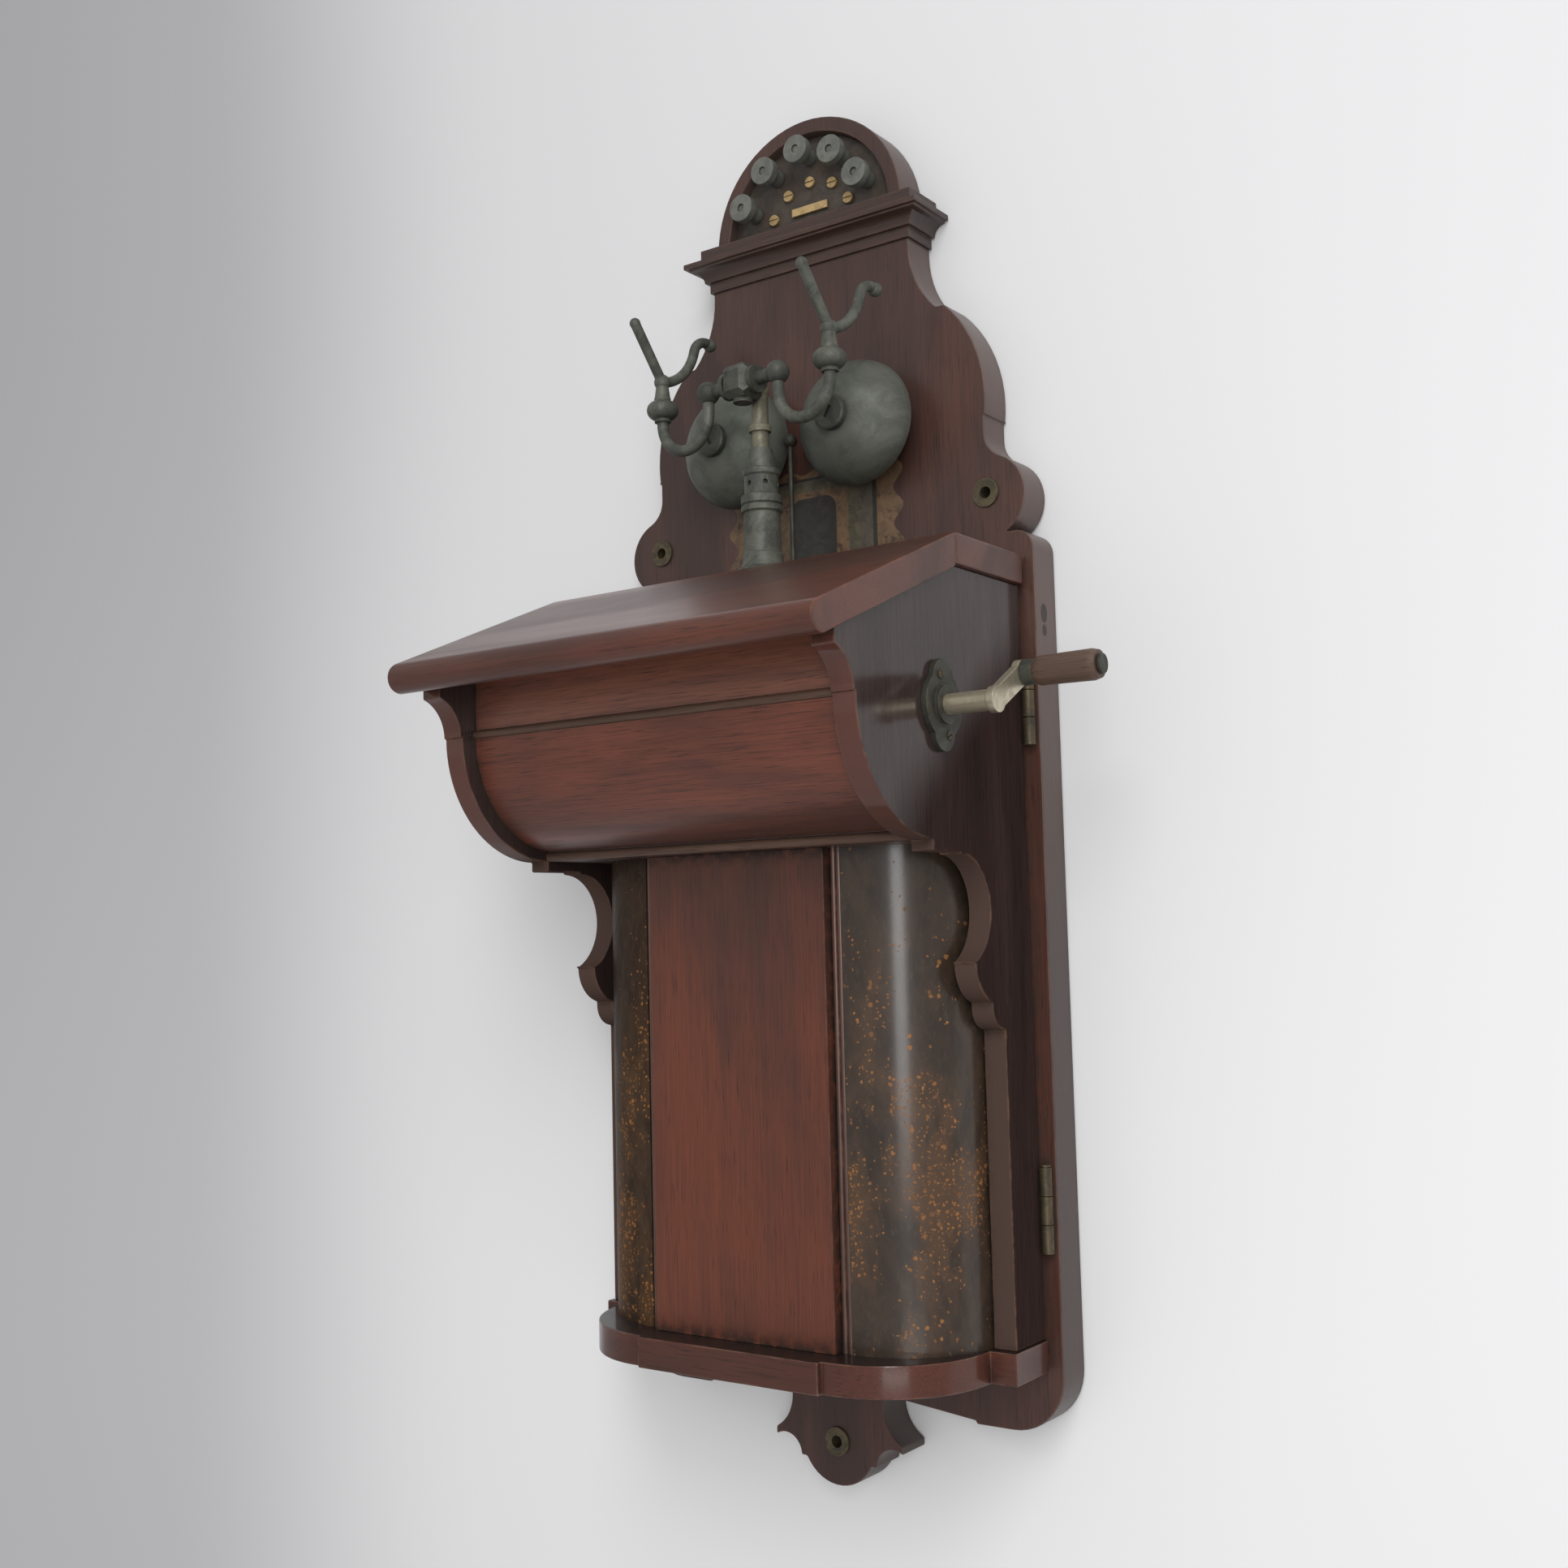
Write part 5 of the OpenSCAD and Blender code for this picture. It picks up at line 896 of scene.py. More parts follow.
class MeshBench:
    """Collects the shapes of one fitting and turns them into an object."""

    def __init__(self) -> None:
        """Starts an empty mesh."""
        self.mesh = bmesh.new()

    def ring(self, outline: Sequence[Point2], height: float, place: Matrix) -> list:
        """Adds the points of an outline at one height and gives them."""
        return [self.mesh.verts.new(place @ Vector((x, y, height))) for x, y in outline]

    def bridge(self, *rings: list) -> None:
        """Joins rings of points one after another. A ring of one point is a tip."""
        for lower, upper in zip(rings, rings[1:]):
            for step in range(max(len(lower), len(upper))):
                corners = [lower[step % len(lower)], lower[(step + 1) % len(lower)]]
                corners += [upper[(step + 1) % len(upper)], upper[step % len(upper)]]
                self.mesh.faces.new(list(dict.fromkeys(corners)))

    def prism(self, outline: Sequence[Point2], low: float, high: float, place: Matrix) -> None:
        """Adds an outline drawn up from one height to another.

        Args:
            outline: Points of the outline, anticlockwise.
            low: Height of the lower face.
            high: Height of the upper face.
            place: Where the shape goes.
        """
        lower, upper = (self.ring(outline, height, place) for height in (low, high))
        self.mesh.faces.new(lower[::-1])
        self.mesh.faces.new(upper)
        self.bridge(lower, upper)

    def lathe(self, profile: Sequence[Point2], place: Matrix, segments: int = 48) -> None:
        """Adds a turned shape about the local Z axis.

        Args:
            profile: Radius and height of each step, with zero radius only at the ends.
            place: Where the shape goes.
            segments: Number of steps round.
        """
        tip = [(0.0, 0.0)]
        outlines = [(round_points(radius, segments) if radius else tip, height) for radius, height in profile]
        self.bridge(*(self.ring(outline, height, place) for outline, height in outlines))

    def tube(self, path: Sequence[Vector], radius: float, sides: int = 12) -> None:
        """Adds a round wire along a path, with closed ends.

        Args:
            path: Points of the centre line.
            radius: Radius of the wire.
            sides: Number of steps round the wire.
        """
        rings = []
        for index, point in enumerate(path):
            ahead = path[min(index + 1, len(path) - 1)] - path[max(index - 1, 0)]
            across = ahead.cross(UP).normalized()
            raised = across.cross(ahead).normalized()
            spots = [point + radius * (x * across + y * raised) for x, y in round_points(1.0, sides)]
            rings.append([self.mesh.verts.new(spot) for spot in spots])
        self.bridge(*rings)
        self.mesh.faces.new(rings[0][::-1])
        self.mesh.faces.new(rings[-1])

    def slotted_head(self, radius: float, place: Matrix, arc_steps: int = 15, steps: int = 32) -> None:
        """Adds a domed screw head with a slot.

        Args:
            radius: Radius of the head.
            place: Where it sits, its Z axis outward.
            arc_steps: Points along each half of its rim.
            steps: Number of steps round its disc.
        """
        sunk, floor, foot_z, rim_z, crown_z = (share * radius for share in (-0.2, 0.12, 0.10, 0.26, 0.46))
        slot, inner = 0.16 * radius, 0.72 * radius
        self.lathe([(0, sunk), (radius, sunk), (radius, floor), (0, floor)], place, steps)
        for half in (0.0, math.pi):
            low, top = (
                round_points(reach, arc_steps, half + cut, math.pi - 2 * cut)
                for reach, cut in ((radius, math.asin(slot / radius)), (inner, math.asin(slot / inner)))
            )
            foot, rim = (self.ring(low, height, place) for height in (foot_z, rim_z))
            crown = self.ring(top, crown_z, place)
            self.bridge(foot, rim, crown)
            self.mesh.faces.new(crown)
            self.mesh.faces.new(foot[::-1])

    def finish(self, name: str, look: Finish, body: str, bevel: float = 0.0) -> Piece:
        """Makes the object, dresses it and lets it ride on a body.

        Args:
            name: Name of the piece.
            look: Its finish.
            body: The CAD body that carries it.
            bevel: Width of its softened edges, or zero.

        Returns:
            The new object.
        """
        bmesh.ops.recalc_face_normals(self.mesh, faces=self.mesh.faces)
        data = bpy.data.meshes.new(name)
        self.mesh.to_mesh(data)
        self.mesh.free()
        piece = placed(name, data)
        data.materials.append(look.material())
        Softener.soften(piece, bevel)
        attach(piece, body)
        LOG.info("piece %s rides on %s", name, body)
        return piece


class Softener:
    """Edge softening and shading that leave the mesh itself as it is."""

    WELD_REACH = 0.004 * MM
    FLAT_ANGLE = math.radians(0.4)
    SMOOTH_ANGLE = math.radians(34)
    BEVEL_ANGLE = math.radians(38)
    BEVEL_STEPS = 2
    FACE_WEIGHT = 80

    @staticmethod
    def opened(name: str) -> tuple[NodeBench, Socket, Socket]:
        """Starts a geometry group and gives its bench, its start and its end."""
        group = bpy.data.node_groups.new(name, "GeometryNodeTree")
        for side in ("INPUT", "OUTPUT"):
            group.interface.new_socket("Geometry", in_out=side, socket_type="NodeSocketGeometry")
        bench = NodeBench(group)
        return bench, bench.put("NodeGroupInput").outputs[0], bench.put("NodeGroupOutput").inputs[0]

    @classmethod
    @cache
    def weld_mesh(cls) -> Tree:
        """Gives the group that welds a mesh and drops its packed normals."""
        bench, start, end = cls.opened("weld_mesh")
        packed = {"Geometry": start, "Name": "custom_normal"}
        bare = bench.put("GeometryNodeRemoveAttribute", packed).outputs[0]
        feeds = {"Geometry": bare, "Distance": cls.WELD_REACH}
        bench.feed(end, bench.put("GeometryNodeMergeByDistance", feeds).outputs[0])
        return bench.tree

    @classmethod
    @cache
    def shade_by_angle(cls) -> Tree:
        """Gives the group that shades a mesh smooth, apart from its sharp edges."""
        bench, smooth, end = cls.opened("shade_by_angle")
        feeds = {0: bench.put("GeometryNodeInputMeshEdgeAngle").outputs[0], 1: cls.SMOOTH_ANGLE}
        flat = bench.put("FunctionNodeCompare", feeds, operation="LESS_THAN").outputs[0]
        for domain, where in (("FACE", True), ("EDGE", flat)):
            smooth = bench.put("GeometryNodeSetShadeSmooth", {0: smooth, 2: where}, domain=domain).outputs[0]
        bench.feed(end, smooth)
        return bench.tree

    @classmethod
    def soften(cls, piece: Piece, width: float) -> None:
        """Softens the sharp edges of a piece and shades it.

        Args:
            piece: The object.
            width: Width of the softened edges, or zero for crisp ones.
        """

        def add(name: str, kind: str, **settings) -> None:
            """Adds one modifier."""
            made = piece.modifiers.new(name, kind)
            for key, value in settings.items():
                setattr(made, key, value)

        add("weld", "NODES", node_group=cls.weld_mesh())
        if width:
            add("flat_faces", "DECIMATE", decimate_type="DISSOLVE", angle_limit=cls.FLAT_ANGLE)
            add(
                "soft_edges", "BEVEL", width=width, segments=cls.BEVEL_STEPS, limit_method="ANGLE",
                angle_limit=cls.BEVEL_ANGLE, use_clamp_overlap=False, miter_outer="MITER_ARC",
            )
        add("shade", "NODES", node_group=cls.shade_by_angle())
        if width:
            add("level_faces", "WEIGHTED_NORMAL", keep_sharp=True, weight=cls.FACE_WEIGHT)


Dress = tuple[tuple[Finish, float, str], ...]


@dataclass
class Assembly:
    """A group of CAD nodes that are dressed together, with the fittings added to them.

    Attributes:
        dress: Finish, edge softening in millimetres and the names of the nodes that have both.
    """

    dress: Dress = ()

    def fittings(self) -> list[Piece]:
        """Builds the pieces that the CAD model leaves to this scene."""
        return []

    def build(self) -> None:
        """Dresses the CAD nodes and builds the fittings."""
        for look, width, names in self.dress:
            for name in names.split():
                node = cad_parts[name]
                node.data.materials.clear()
                node.data.materials.append(look.material())
                Softener.soften(node, width * MM)
                LOG.info("node %s is finished as %s", name, look.name)
        self.fittings()


@dataclass
class Backboard(Assembly):
    """Board on the wall with its cornice, lined holes, hinge leaves and worn gilt panel."""

    dress: Dress = (
        (Finishes.board, 0.9, "backboard"),
        (Finishes.cornice, 0.5, "cornice"),
        (Finishes.eyelet, 0.2, "fixing_eyelets"),
        (Finishes.bronze, 0.2, "hinge_board_leaves"),
        (Finishes.bronze, 0.0, "hinge_pins"),
    )
    face: float = -22 * MM
    edge_x: float = 129 * MM
    plug_depth: float = -13.2 * MM
    plugs: tuple[tuple[float, float, float], ...] = ((-62.5, 2.9, 4.6), (-71.0, 2.0, 2.9))
    plug_leaves: int = 3
    panel_foot: float = -34 * MM
    panel_top: float = 28 * MM
    scallop_half: float = 53 * MM
    scallop_rise: float = 3 * MM
    scallop_pitch: float = 19.1 * MM
    scallop_start: float = -16.4 * MM
    scallop_steps: int = 60
    field_corner: float = 7 * MM
    corner_steps: int = 8
    leaf: float = 0.04 * MM

    def fittings(self) -> list[Piece]:
        """Builds the gilt panel and the plugs in the board's edge."""
        return [*self.gilt_panel(), self.edge_plugs()]

    def scalloped(self) -> list[Point2]:
        """Gives the outline of the gilt panel with its scalloped sides and top."""
        foot, top, rise, steps = self.panel_foot, self.panel_top, self.scallop_rise, self.scallop_steps
        turn = FULL_TURN / self.scallop_pitch
        heights = [foot + (top - foot) * step / steps for step in range(steps + 1)]
        right = [(self.scallop_half + rise * math.cos(turn * (z - self.scallop_start)), z) for z in heights]
        reach = right[-1][0]
        across = [reach * (1 - step / (steps / 2)) for step in range(1, steps)]
        head = [(x, top + rise * (1 - math.cos(turn * (reach - x))) / 2) for x in across]
        return [*right, *head, *mirrored(right[::-1])]

    def field(self, half: float, top: float) -> list[Point2]:
        """Gives the outline of one inner field, with rounded upper corners."""
        bend, steps = self.field_corner, self.corner_steps
        right = arc((half - bend, top - bend), bend, steps, 0.0, QUARTER)
        left = arc((bend - half, top - bend), bend, steps, QUARTER, QUARTER)
        return [(-half, self.panel_foot), (half, self.panel_foot), *right, *left]

    def gilt_panel(self) -> list[Piece]:
        """Builds the unlettered panel as thin layers of leaf and paint, each on the one below."""
        layers = (
            ("gilt_scallops", Finishes.old_gold, self.scalloped()),
            ("gilt_dark_line", Finishes.black_line, self.field(39.8 * MM, 26 * MM)),
            ("gilt_green_field", Finishes.green_field, self.field(37.3 * MM, 24.5 * MM)),
            ("gilt_olive_band", Finishes.olive, self.field(29.0 * MM, 21.5 * MM)),
            ("gilt_gold_band", Finishes.old_gold, self.field(22.3 * MM, 18.5 * MM)),
            # The dark centre field behind the pillar is partly painted shadow of the pillar.
            ("gilt_dark_field_and_shade", Finishes.black_line, self.field(14.6 * MM, 15 * MM)),
        )
        place = facing(Vector((0, self.face, 0)), FRONT)
        pieces = []
        for level, (name, look, outline) in enumerate(layers, 1):
            bench = MeshBench()
            bench.prism(outline, -self.leaf, level * self.leaf, place)
            pieces.append(bench.finish(name, look, "backboard"))
        return pieces

    def edge_plugs(self) -> Piece:
        """Builds the two oval plugs in the right-hand edge."""
        bench = MeshBench()
        rise = self.plug_leaves * self.leaf
        for height, half_width, half_height in self.plugs:
            spot = Vector((self.edge_x, self.plug_depth, height * MM))
            bench.prism(oval_points(half_width * MM, half_height * MM), -rise, rise, facing(spot, RIGHT))
        return bench.finish("edge_plugs", Finishes.plug, "backboard")


@dataclass
class TerminalHead(Assembly):
    """Terminal plate under the arch with its studs, nuts and arrester screws."""

    dress: Dress = (
        (Finishes.plate, 0.3, "terminal_plate"),
        (Finishes.nut, 0.2, "terminal_studs"),
        (Finishes.nut, 0.5, "terminal_nuts"),
        (Finishes.gilt, 0.2, "arrester_screws"),
        (Finishes.gilt, 0.4, "earth_bar"),
    )


@dataclass
class Bell(Assembly):
    """The two gongs and the ringer that strikes them."""

    dress: Dress = (
        (Finishes.gong, 0.0, "gong_left gong_right"),
        (Finishes.brass, 0.3, "gong_posts"),
        # The gong nuts are dark partly from their own patina and partly from painted shade of the cradle
        # arms.
        (Finishes.crosshead, 0.2, "gong_nuts"),
        (Finishes.iron, 0.4, "ringer_frame"),
        (Finishes.magnet, 0.4, "ringer_magnet"),
        (Finishes.steel, 0.1, "clapper_pivot"),
        (Finishes.iron, 0.2, "clapper_armature"),
        (Finishes.iron, 0.0, "clapper_rod"),
    )
    cheek: float = 2 * MM
    rim: float = 0.3 * MM
    core_radius: float = 3.5 * MM
    core_steps: int = 32
    winding_inset: float = 2.0 * MM
    ridge: float = 0.45 * MM
    turns: int = 30

    def fittings(self) -> list[Piece]:
        """Builds the two wound bobbins in place of the plain coils."""
        low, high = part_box("ringer_coils")
        radius = (high.y - low.y) / 2
        top = high.z - self.cheek
        core, rim = self.core_radius, self.rim
        frames, wire = MeshBench(), MeshBench()
        for centre_x in (low.x + radius, high.x - radius):
            place = Matrix.Translation((centre_x, (low.y + high.y) / 2, 0))
            for foot in (low.z, top - self.cheek):
                head = foot + self.cheek
                profile = [(0, foot), (radius - rim, foot), (radius, foot + rim), (radius, head - rim)]
                frames.lathe([*profile, (radius - rim, head), (0, head)], place)
            profile = [(0, top), (core, top), (core, high.z - rim), (core - rim, high.z), (0, high.z)]
            frames.lathe(profile, place, self.core_steps)
            groove = radius - self.winding_inset
            wound = wound_profile(groove, self.ridge, low.z + self.cheek, top - self.cheek, self.turns)
            wire.lathe(wound, place)
        bobbins = frames.finish("ringer_bobbins", Finishes.ebonite, "backboard")
        winding = wire.finish("ringer_windings", Finishes.silk, "backboard")
        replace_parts(winding, "ringer_coils")
        return [bobbins, winding]


@dataclass
class CaseShell(Assembly):
    """Wooden case with its desk, curved front and scrolled side boards."""

    dress: Dress = (
        (Finishes.side, 0.8, "side_board_left side_board_right"),
        (Finishes.desk, 1.4, "desk_top desk_shelf"),
        (Finishes.frieze, 0.3, "frieze_rail"),
        (Finishes.dusty, 0.3, "bead_moulding"),
        (Finishes.trim, 0.5, "generator_shelf"),
        (Finishes.base, 0.8, "base_board"),
        (Finishes.bronze, 0.2, "hinge_case_leaves"),
    )
    sheet: float = 4 * MM
    land: float = 0.5 * MM
    nose_reach: float = 1.4 * MM
    arc_steps: int = 33
    nose_steps: int = 13
    bead_steps: int = 9

    def fittings(self) -> list[Piece]:
        """Builds the curved front, the strip at the waist and the panels that reach up to it."""
        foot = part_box("generator_shelf")[0].z
        strip_low, strip_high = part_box("waist_moulding")
        height = strip_high.z - strip_low.z
        low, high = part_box("centre_panel")
        board = [(low.x, low.y), (high.x, low.y), (high.x, high.y), (low.x, high.y)]
        beads, corner = self.bead_plan(), self.corner_plan()
        upright = (low.z, foot, Matrix.Identity(4))
        pieces = (
            ("bulge_front", "bulge_panel", Finishes.bulge, 0.2, [self.bulge(foot + height)], None),
            ("waist_strip", "waist_moulding", Finishes.dusty, 0.0, [self.nosing(foot, height)], None),
            ("centre_board", "centre_panel", Finishes.front, 0.5, [board], upright),
            ("bead_strips", "panel_beads", Finishes.bead, 0.0, [beads, mirrored(beads)], upright),
            ("corner_sheet_right", "corner_panel_right", Finishes.corner, 0.0, [corner], upright),
            ("corner_sheet_left", "corner_panel_left", Finishes.far_corner, 0.0, [mirrored(corner)], upright),
        )
        made = []
        for name, node, look, bevel, outlines, drawn in pieces:
            low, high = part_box(node)
            bench = MeshBench()
            for outline in outlines:
                bench.prism(outline, *(drawn or (low.x, high.x, DRAWN_ALONG_X)))
            made.append(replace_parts(bench.finish(name, look, "case", bevel * MM), node))
        return made

    def bulge(self, foot: float) -> list[Point2]:
        """Gives the section of the quarter-round front above a height."""
        low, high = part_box("bulge_panel")
        radius = high.z - foot
        centre = (low.y + radius, high.z)
        outer = arc(centre, radius, self.arc_steps, math.pi, QUARTER)
        inner = arc(centre, radius - self.sheet, self.arc_steps, math.pi, QUARTER)
        return [*outer, *reversed(inner)]

    def nosing(self, foot: float, height: float) -> list[Point2]:
        """Gives the section of the strip with its rounded nose.

        Args:
            foot: Height of its lower edge.
            height: Its own height.

        Returns:
            The outline.
        """
        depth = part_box("waist_moulding")[0].y
        nose = height / 2
        rounded = arc((depth + nose - self.nose_reach, foot + nose), nose, self.nose_steps, QUARTER, math.pi)
        return [*rounded, (depth + nose, foot), (depth + nose, foot + height)]

    def bead_plan(self) -> list[Point2]:
        """Gives the plan of the right-hand strip of two upright beads."""
        low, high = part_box("panel_beads")
        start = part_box("centre_panel")[1].x
        radius = (high.x - start) / 4
        plan = [(start, high.y), (high.x, high.y)]
        for centre_x in (high.x - radius, start + radius):
            plan += arc((centre_x, low.y + radius), radius, self.bead_steps, 0.0, -math.pi)
        return plan

    def corner_plan(self) -> list[Point2]:
        """Gives the plan of the right-hand quarter-round sheet."""
        low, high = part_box("corner_panel_right")
        radius = high.x - low.x - self.land
        centre = (high.x - radius, low.y + radius)
        outer = arc(centre, radius, self.arc_steps, 0.0, -QUARTER)
        inner = arc(centre, radius - self.sheet, self.arc_steps, 0.0, -QUARTER)
        ends = [(low.x, low.y), (low.x, low.y + self.sheet)]
        return [(high.x, high.y), *outer, *ends, *reversed(inner), (high.x - self.sheet, high.y)]


@dataclass
class Cradle(Assembly):
    """Handset cradle on its pillar, with the switch that it works."""

    dress: Dress = (
        (Finishes.cradle, 0.2, "cradle_pillar"),
        (Finishes.plunger, 0.0, "cradle_plunger"),
        (Finishes.crosshead, 0.0, "cradle_crosshead"),
        (Finishes.cradle, 0.0, "cradle_arms cradle_forks"),
        (Finishes.brass, 0.2, "hook_lever"),
        (Finishes.ebonite, 0.3, "contact_block"),
        (Finishes.steel, 0.0, "contact_springs"),
    )
    travel: float = 6 * MM
    seat_z: float = -34.5 * MM
    wire_radius: float = 0.6 * MM
    turns: int = 7
    steps: int = 24

    def fittings(self) -> list[Piece]:
        """Builds the round-wire spring that lifts the cradle."""
        low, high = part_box("hook_spring")
        centre = (low + high) / 2
        radius = (high.x - low.x) / 2 - self.wire_radius
        foot, top = low.z + self.wire_radius, high.z - self.wire_radius
        count = self.turns * self.steps
        path = []
        for step in range(count + 1):
            angle = FULL_TURN * step / self.steps
            height = foot + (top - foot) * step / count
            path.append(Vector((radius * math.cos(angle), centre.y + radius * math.sin(angle), height)))
        bench = MeshBench()
        bench.tube(path, self.wire_radius)
        spring = bench.finish("lifting_spring", Finishes.steel, "case")
        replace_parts(spring, "hook_spring")
        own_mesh(spring)
        return [spring]


@dataclass
class Magneto(Assembly):
    """Hand crank, gear pair, armature and magnets of the ringing generator."""

    dress: Dress = (
        (Finishes.iron, 0.3, "crank_escutcheon"),
        (Finishes.nickel, 0.3, "crank_shaft"),
        (Finishes.nickel, 0.4, "crank_arm"),
        (Finishes.iron, 0.2, "grip_pin pole_pieces armature_core"),
        (Finishes.grip, 0.0, "crank_grip"),
        (Finishes.brass, 0.1, "drive_gear"),
        (Finishes.steel, 0.1, "pinion"),
        (Finishes.magnet, 0.6, "generator_magnets"),
        (Finishes.brass, 0.3, "generator_end_plates"),
    )
    plate_x: float = 124.5 * MM
    plate_screws: tuple[Point2, ...] = ((-102.0 * MM, -129.5 * MM), (-108.0 * MM, -102.5 * MM))
    screw_turns: tuple[float, ...] = (0.5, 2.1)
    screw_radius: float = 2.0 * MM
    slot_floor: float = 2.4 * MM
    slot_share: float = 0.4
    strand: float = 1.1 * MM
    strand_steps: int = 4
    strand_sink: float = 0.3

    def fittings(self) -> list[Piece]:
        """Builds the escutcheon's screws and the armature's wire."""
        bench = MeshBench()
        for (depth, height), turn in zip(self.plate_screws, self.screw_turns):
            bench.slotted_head(self.screw_radius, facing(Vector((self.plate_x, depth, height)), RIGHT, turn))
        return [bench.finish("escutcheon_screws", Finishes.bronze, "case"), self.armature_wire()]

    def strands(self, half_width: float, low: float, high: float) -> list[Point2]:
        """Gives the outline of a bundle of wires, each strand a small round bump.

        Args:
            half_width: Half the width of the bundle.
            low: Its lower face.
            high: Its upper face.

        Returns:
            The outline, anticlockwise.
        """
        corners = [(-half_width, low), (half_width, low), (half_width, high), (-half_width, high)]
        outline = []
        for (x0, y0), (x1, y1) in zip(corners, corners[1:] + corners[:1]):
            length = math.hypot(x1 - x0, y1 - y0)
            count = max(2, round(length / self.strand))
            inward = Vector((y0 - y1, x1 - x0)) / length
            steps = count * self.strand_steps
            for share in (step / steps for step in range(steps)):
                sink = self.strand_sink * self.strand * (1 - abs(math.sin(math.pi * count * share)))
                x, y = x0 + (x1 - x0) * share, y0 + (y1 - y0) * share
                outline.append((x + inward.x * sink, y + inward.y * sink))
        return outline

    def armature_wire(self) -> Piece:
        """Builds the two bundles of wire in the armature's slots."""
        low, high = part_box("armature_winding")
        centre = (low + high) / 2
        reach = (high.z - low.z) / 2
        inner = self.slot_share * (reach + self.slot_floor)
        place = Matrix.Translation(centre)
        for axis in "YZ":
            place = place @ Matrix.Rotation(QUARTER, 4, axis)
        bench = MeshBench()
        for side in (1, -1):
            foot, top = sorted((side * inner, side * reach))
            outline = self.strands((high.y - low.y) / 2, foot, top)
            bench.prism(outline, low.x - centre.x, high.x - centre.x, place)
        wire = bench.finish("armature_wire", Finishes.enamel, "armature")
        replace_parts(wire, "armature_winding")
        return wire


@dataclass
class SpeechCircuit(Assembly):
    """Dry cells and induction coil inside the case."""

    dress: Dress = (
        (Finishes.wrap, 0.6, "battery_cells"),
        (Finishes.brass, 0.1, "battery_terminals"),
    )
    cheek: float = 4 * MM
    winding_inset: float = 3 * MM
    ridge: float = 0.5 * MM
    turns: int = 48

    def fittings(self) -> list[Piece]:
        """Builds the induction coil with its wooden cheeks and wound body."""
        low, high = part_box("induction_coil")
        half = (high.x - low.x) / 2
        length = high.y - low.y
        place = facing(Vector(((low.x + high.x) / 2, high.y, (low.z + high.z) / 2)), FRONT)
        cheeks, wire = MeshBench(), MeshBench()
        square = [(-half, -half), (half, -half), (half, half), (-half, half)]
        for foot in (0.0, length - self.cheek):
            cheeks.prism(square, foot, foot + self.cheek, place)
        radius = half - self.winding_inset - self.ridge
        wire.lathe(wound_profile(radius, self.ridge, self.cheek, length - self.cheek, self.turns), place)
        ends = cheeks.finish("induction_cheeks", Finishes.inner, "case", 0.5 * MM)
        winding = wire.finish("induction_winding", Finishes.cotton, "case")
        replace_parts(winding, "induction_coil")
        return [ends, winding]


@dataclass(frozen=True)
class Lamp:
    """A soft lamp that the camera does not see, in metres and watts."""

    name: str
    spot: Spot
    aim: Spot
    power: float
    size: tuple[float, float]
    shape: str = "RECTANGLE"

    def build(self) -> None:
        """Makes the lamp."""
        data = bpy.data.lights.new(self.name, "AREA")
        data.shape = self.shape
        data.size, data.size_y = self.size
        data.energy = self.power
        lamp = placed(self.name, data)
        lamp.visible_camera = False
        place = Vector(self.spot)
        lamp.matrix_world = facing(place, place - Vector(self.aim))


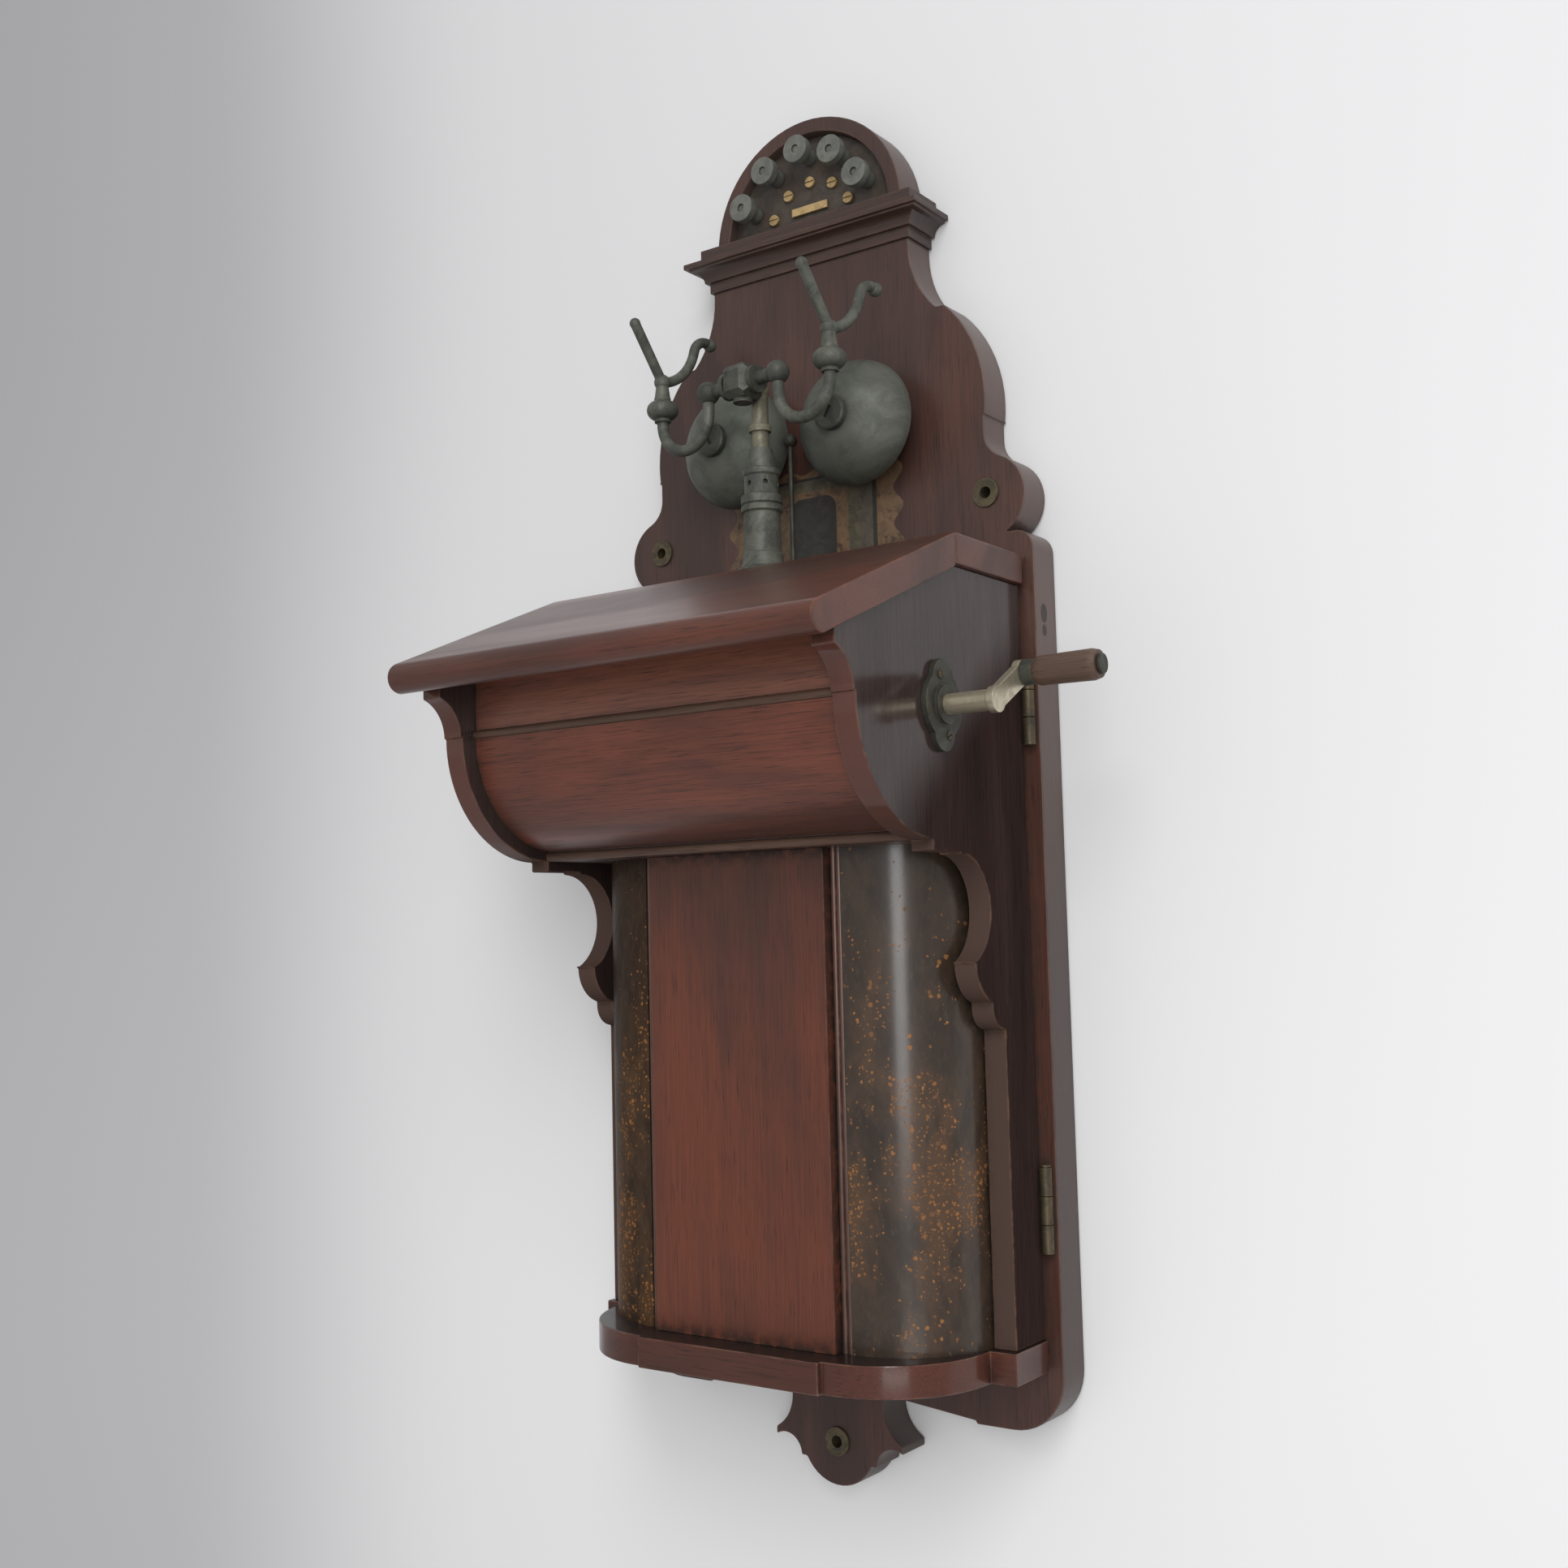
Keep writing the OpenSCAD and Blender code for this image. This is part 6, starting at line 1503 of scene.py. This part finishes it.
@dataclass
class Studio:
    """Pale wall and floor, soft light and the camera."""

    wall_y: float = 1 * MM
    floor_z: float = -0.95
    reach: float = 6.0
    # The wall is painted lighter towards its foot and darker on the far left: painted light and painted
    # shade.
    pale_high: Colour = (0.70, 0.70, 0.71)
    pale_low: Colour = (0.85, 0.85, 0.86)
    pale_floor: Colour = (0.70, 0.70, 0.71)
    pale_span: tuple[float, float] = (0.35, -0.60)
    dusk: Colour = (0.70, 0.70, 0.71)
    no_dusk: Colour = (1.0, 1.0, 1.0)
    dusk_span: tuple[float, float] = (-0.56, -0.22)
    cloud_scale: float = 1.3
    cloud_reach: float = 0.04
    sky: float = 0.55
    lamps: tuple[Lamp, ...] = (
        Lamp("key", (0.69, -1.30, 0.88), (0.0, -0.05, -0.15), 10.0, (0.8, 0.8), "DISK"),
        Lamp("strip", (0.87, -1.34, 0.0), (0.0, -0.05, -0.15), 8.0, (0.34, 0.95)),
        Lamp("glint", (0.380, -0.490, -0.530), (0.087, -0.103, -0.412), 0.1, (0.24, 0.016)),
    )
    eye: Spot = (0.5137, -0.7772, -0.2168)
    right: Spot = (0.8133, 0.5812, -0.0244)
    up: Spot = (0.0700, -0.0562, 0.9959)
    back: Spot = (0.5776, -0.8117, -0.0864)
    lens_mm: float = 40.087
    sensor_mm: float = 36.0
    near: float = 0.01

    def build(self) -> None:
        """Sets up the camera, the stage and the light."""
        self.camera()
        self.backdrop()
        self.light()

    def camera(self) -> None:
        """Makes the camera at the photograph's viewing angle."""
        data = bpy.data.cameras.new("camera")
        data.lens = self.lens_mm
        data.sensor_width = self.sensor_mm
        data.sensor_fit = "HORIZONTAL"
        data.clip_start = self.near
        eye = placed("camera", data)
        turn = Matrix((self.right, self.up, self.back)).transposed()
        eye.matrix_world = Matrix.Translation(self.eye) @ turn.to_4x4()
        bpy.context.scene.camera = eye

    def pale_material(self, name: str, low: Colour, dusk: Colour) -> bpy.types.Material:
        """Gives the matt pale stuff of wall or floor, seen through from behind.

        Args:
            name: Name of the material.
            low: Its tone at the foot of the telephone; on the wall this is lighter, a painted light.
            dusk: What its tone is multiplied by on the far left, a painted shade.

        Returns:
            The material.
        """
        made = bpy.data.materials.new(name)
        bench = NodeBench.cleared(made)
        ray = bench.put("ShaderNodeLightPath").outputs
        behind = bench.put("ShaderNodeNewGeometry").outputs["Backfacing"]
        open_way = bench.most(bench.most(ray["Is Shadow Ray"], ray["Is Diffuse Ray"]), behind)
        place = bench.put("ShaderNodeTexCoord").outputs["Object"]
        spot = bench.axes(place)
        # Painted light: the wall lighter towards the foot; painted shade: darker on the far left.
        pale = bench.mix(bench.span(spot[2], *self.pale_span), self.pale_high, low)
        cloud = bench.span(bench.noise(place, self.cloud_scale, 2.0), 0.3, 0.7)
        across = bench.plus(spot[0], bench.times(cloud, self.cloud_reach))
        shade = bench.mix(bench.span(across, *self.dusk_span), dusk, self.no_dusk)
        tone = bench.mix(1.0, pale, shade, "MULTIPLY")
        matt = bench.put("ShaderNodeBsdfDiffuse", {"Color": tone}).outputs[0]
        clear = bench.put("ShaderNodeBsdfTransparent").outputs[0]
        mixed = bench.put("ShaderNodeMixShader", {0: open_way, 1: matt, 2: clear}).outputs[0]
        bench.put("ShaderNodeOutputMaterial", {0: mixed})
        return made

    def backdrop(self) -> None:
        """Makes the wall behind the board and the floor below it."""
        far, back, foot = self.reach, self.wall_y, self.floor_z
        wall = [(-far, back, foot), (far, back, foot), (far, back, far), (-far, back, far)]
        floor = [(-far, -far, foot), (far, -far, foot), (far, back, foot), (-far, back, foot)]
        sheets = (
            ("stage_wall", wall, self.pale_low, self.dusk),
            ("stage_floor", floor, self.pale_floor, self.no_dusk),
        )
        for name, corners, low, dusk in sheets:
            data = bpy.data.meshes.new(name)
            data.from_pydata(corners, [], [(0, 1, 2, 3)])
            data.materials.append(self.pale_material(name, low, dusk))
            sheet = placed(name, data)

    def light(self) -> None:
        """Makes the even surround, a broad soft lamp, a tall narrow one and a small one for the base."""
        world = bpy.data.worlds.new("studio")
        bpy.context.scene.world = world
        bench = NodeBench.cleared(world)
        white = {"Color": (1.0, 1.0, 1.0), "Strength": self.sky}
        bench.put("ShaderNodeOutputWorld", {0: bench.put("ShaderNodeBackground", white).outputs[0]})
        for lamp in self.lamps:
            lamp.build()
        bpy.context.scene.view_settings.view_transform = "Standard"


def main() -> None:
    """Builds the telephone's sub-assemblies in order and the studio round them."""
    logging.basicConfig(level=logging.INFO, format="%(name)s: %(message)s")
    Studio().build()
    assemblies = (Backboard(), TerminalHead(), Bell(), CaseShell(), Cradle(), Magneto(), SpeechCircuit())
    for assembly in assemblies:
        assembly.build()


if __name__ == "__main__":
    main()
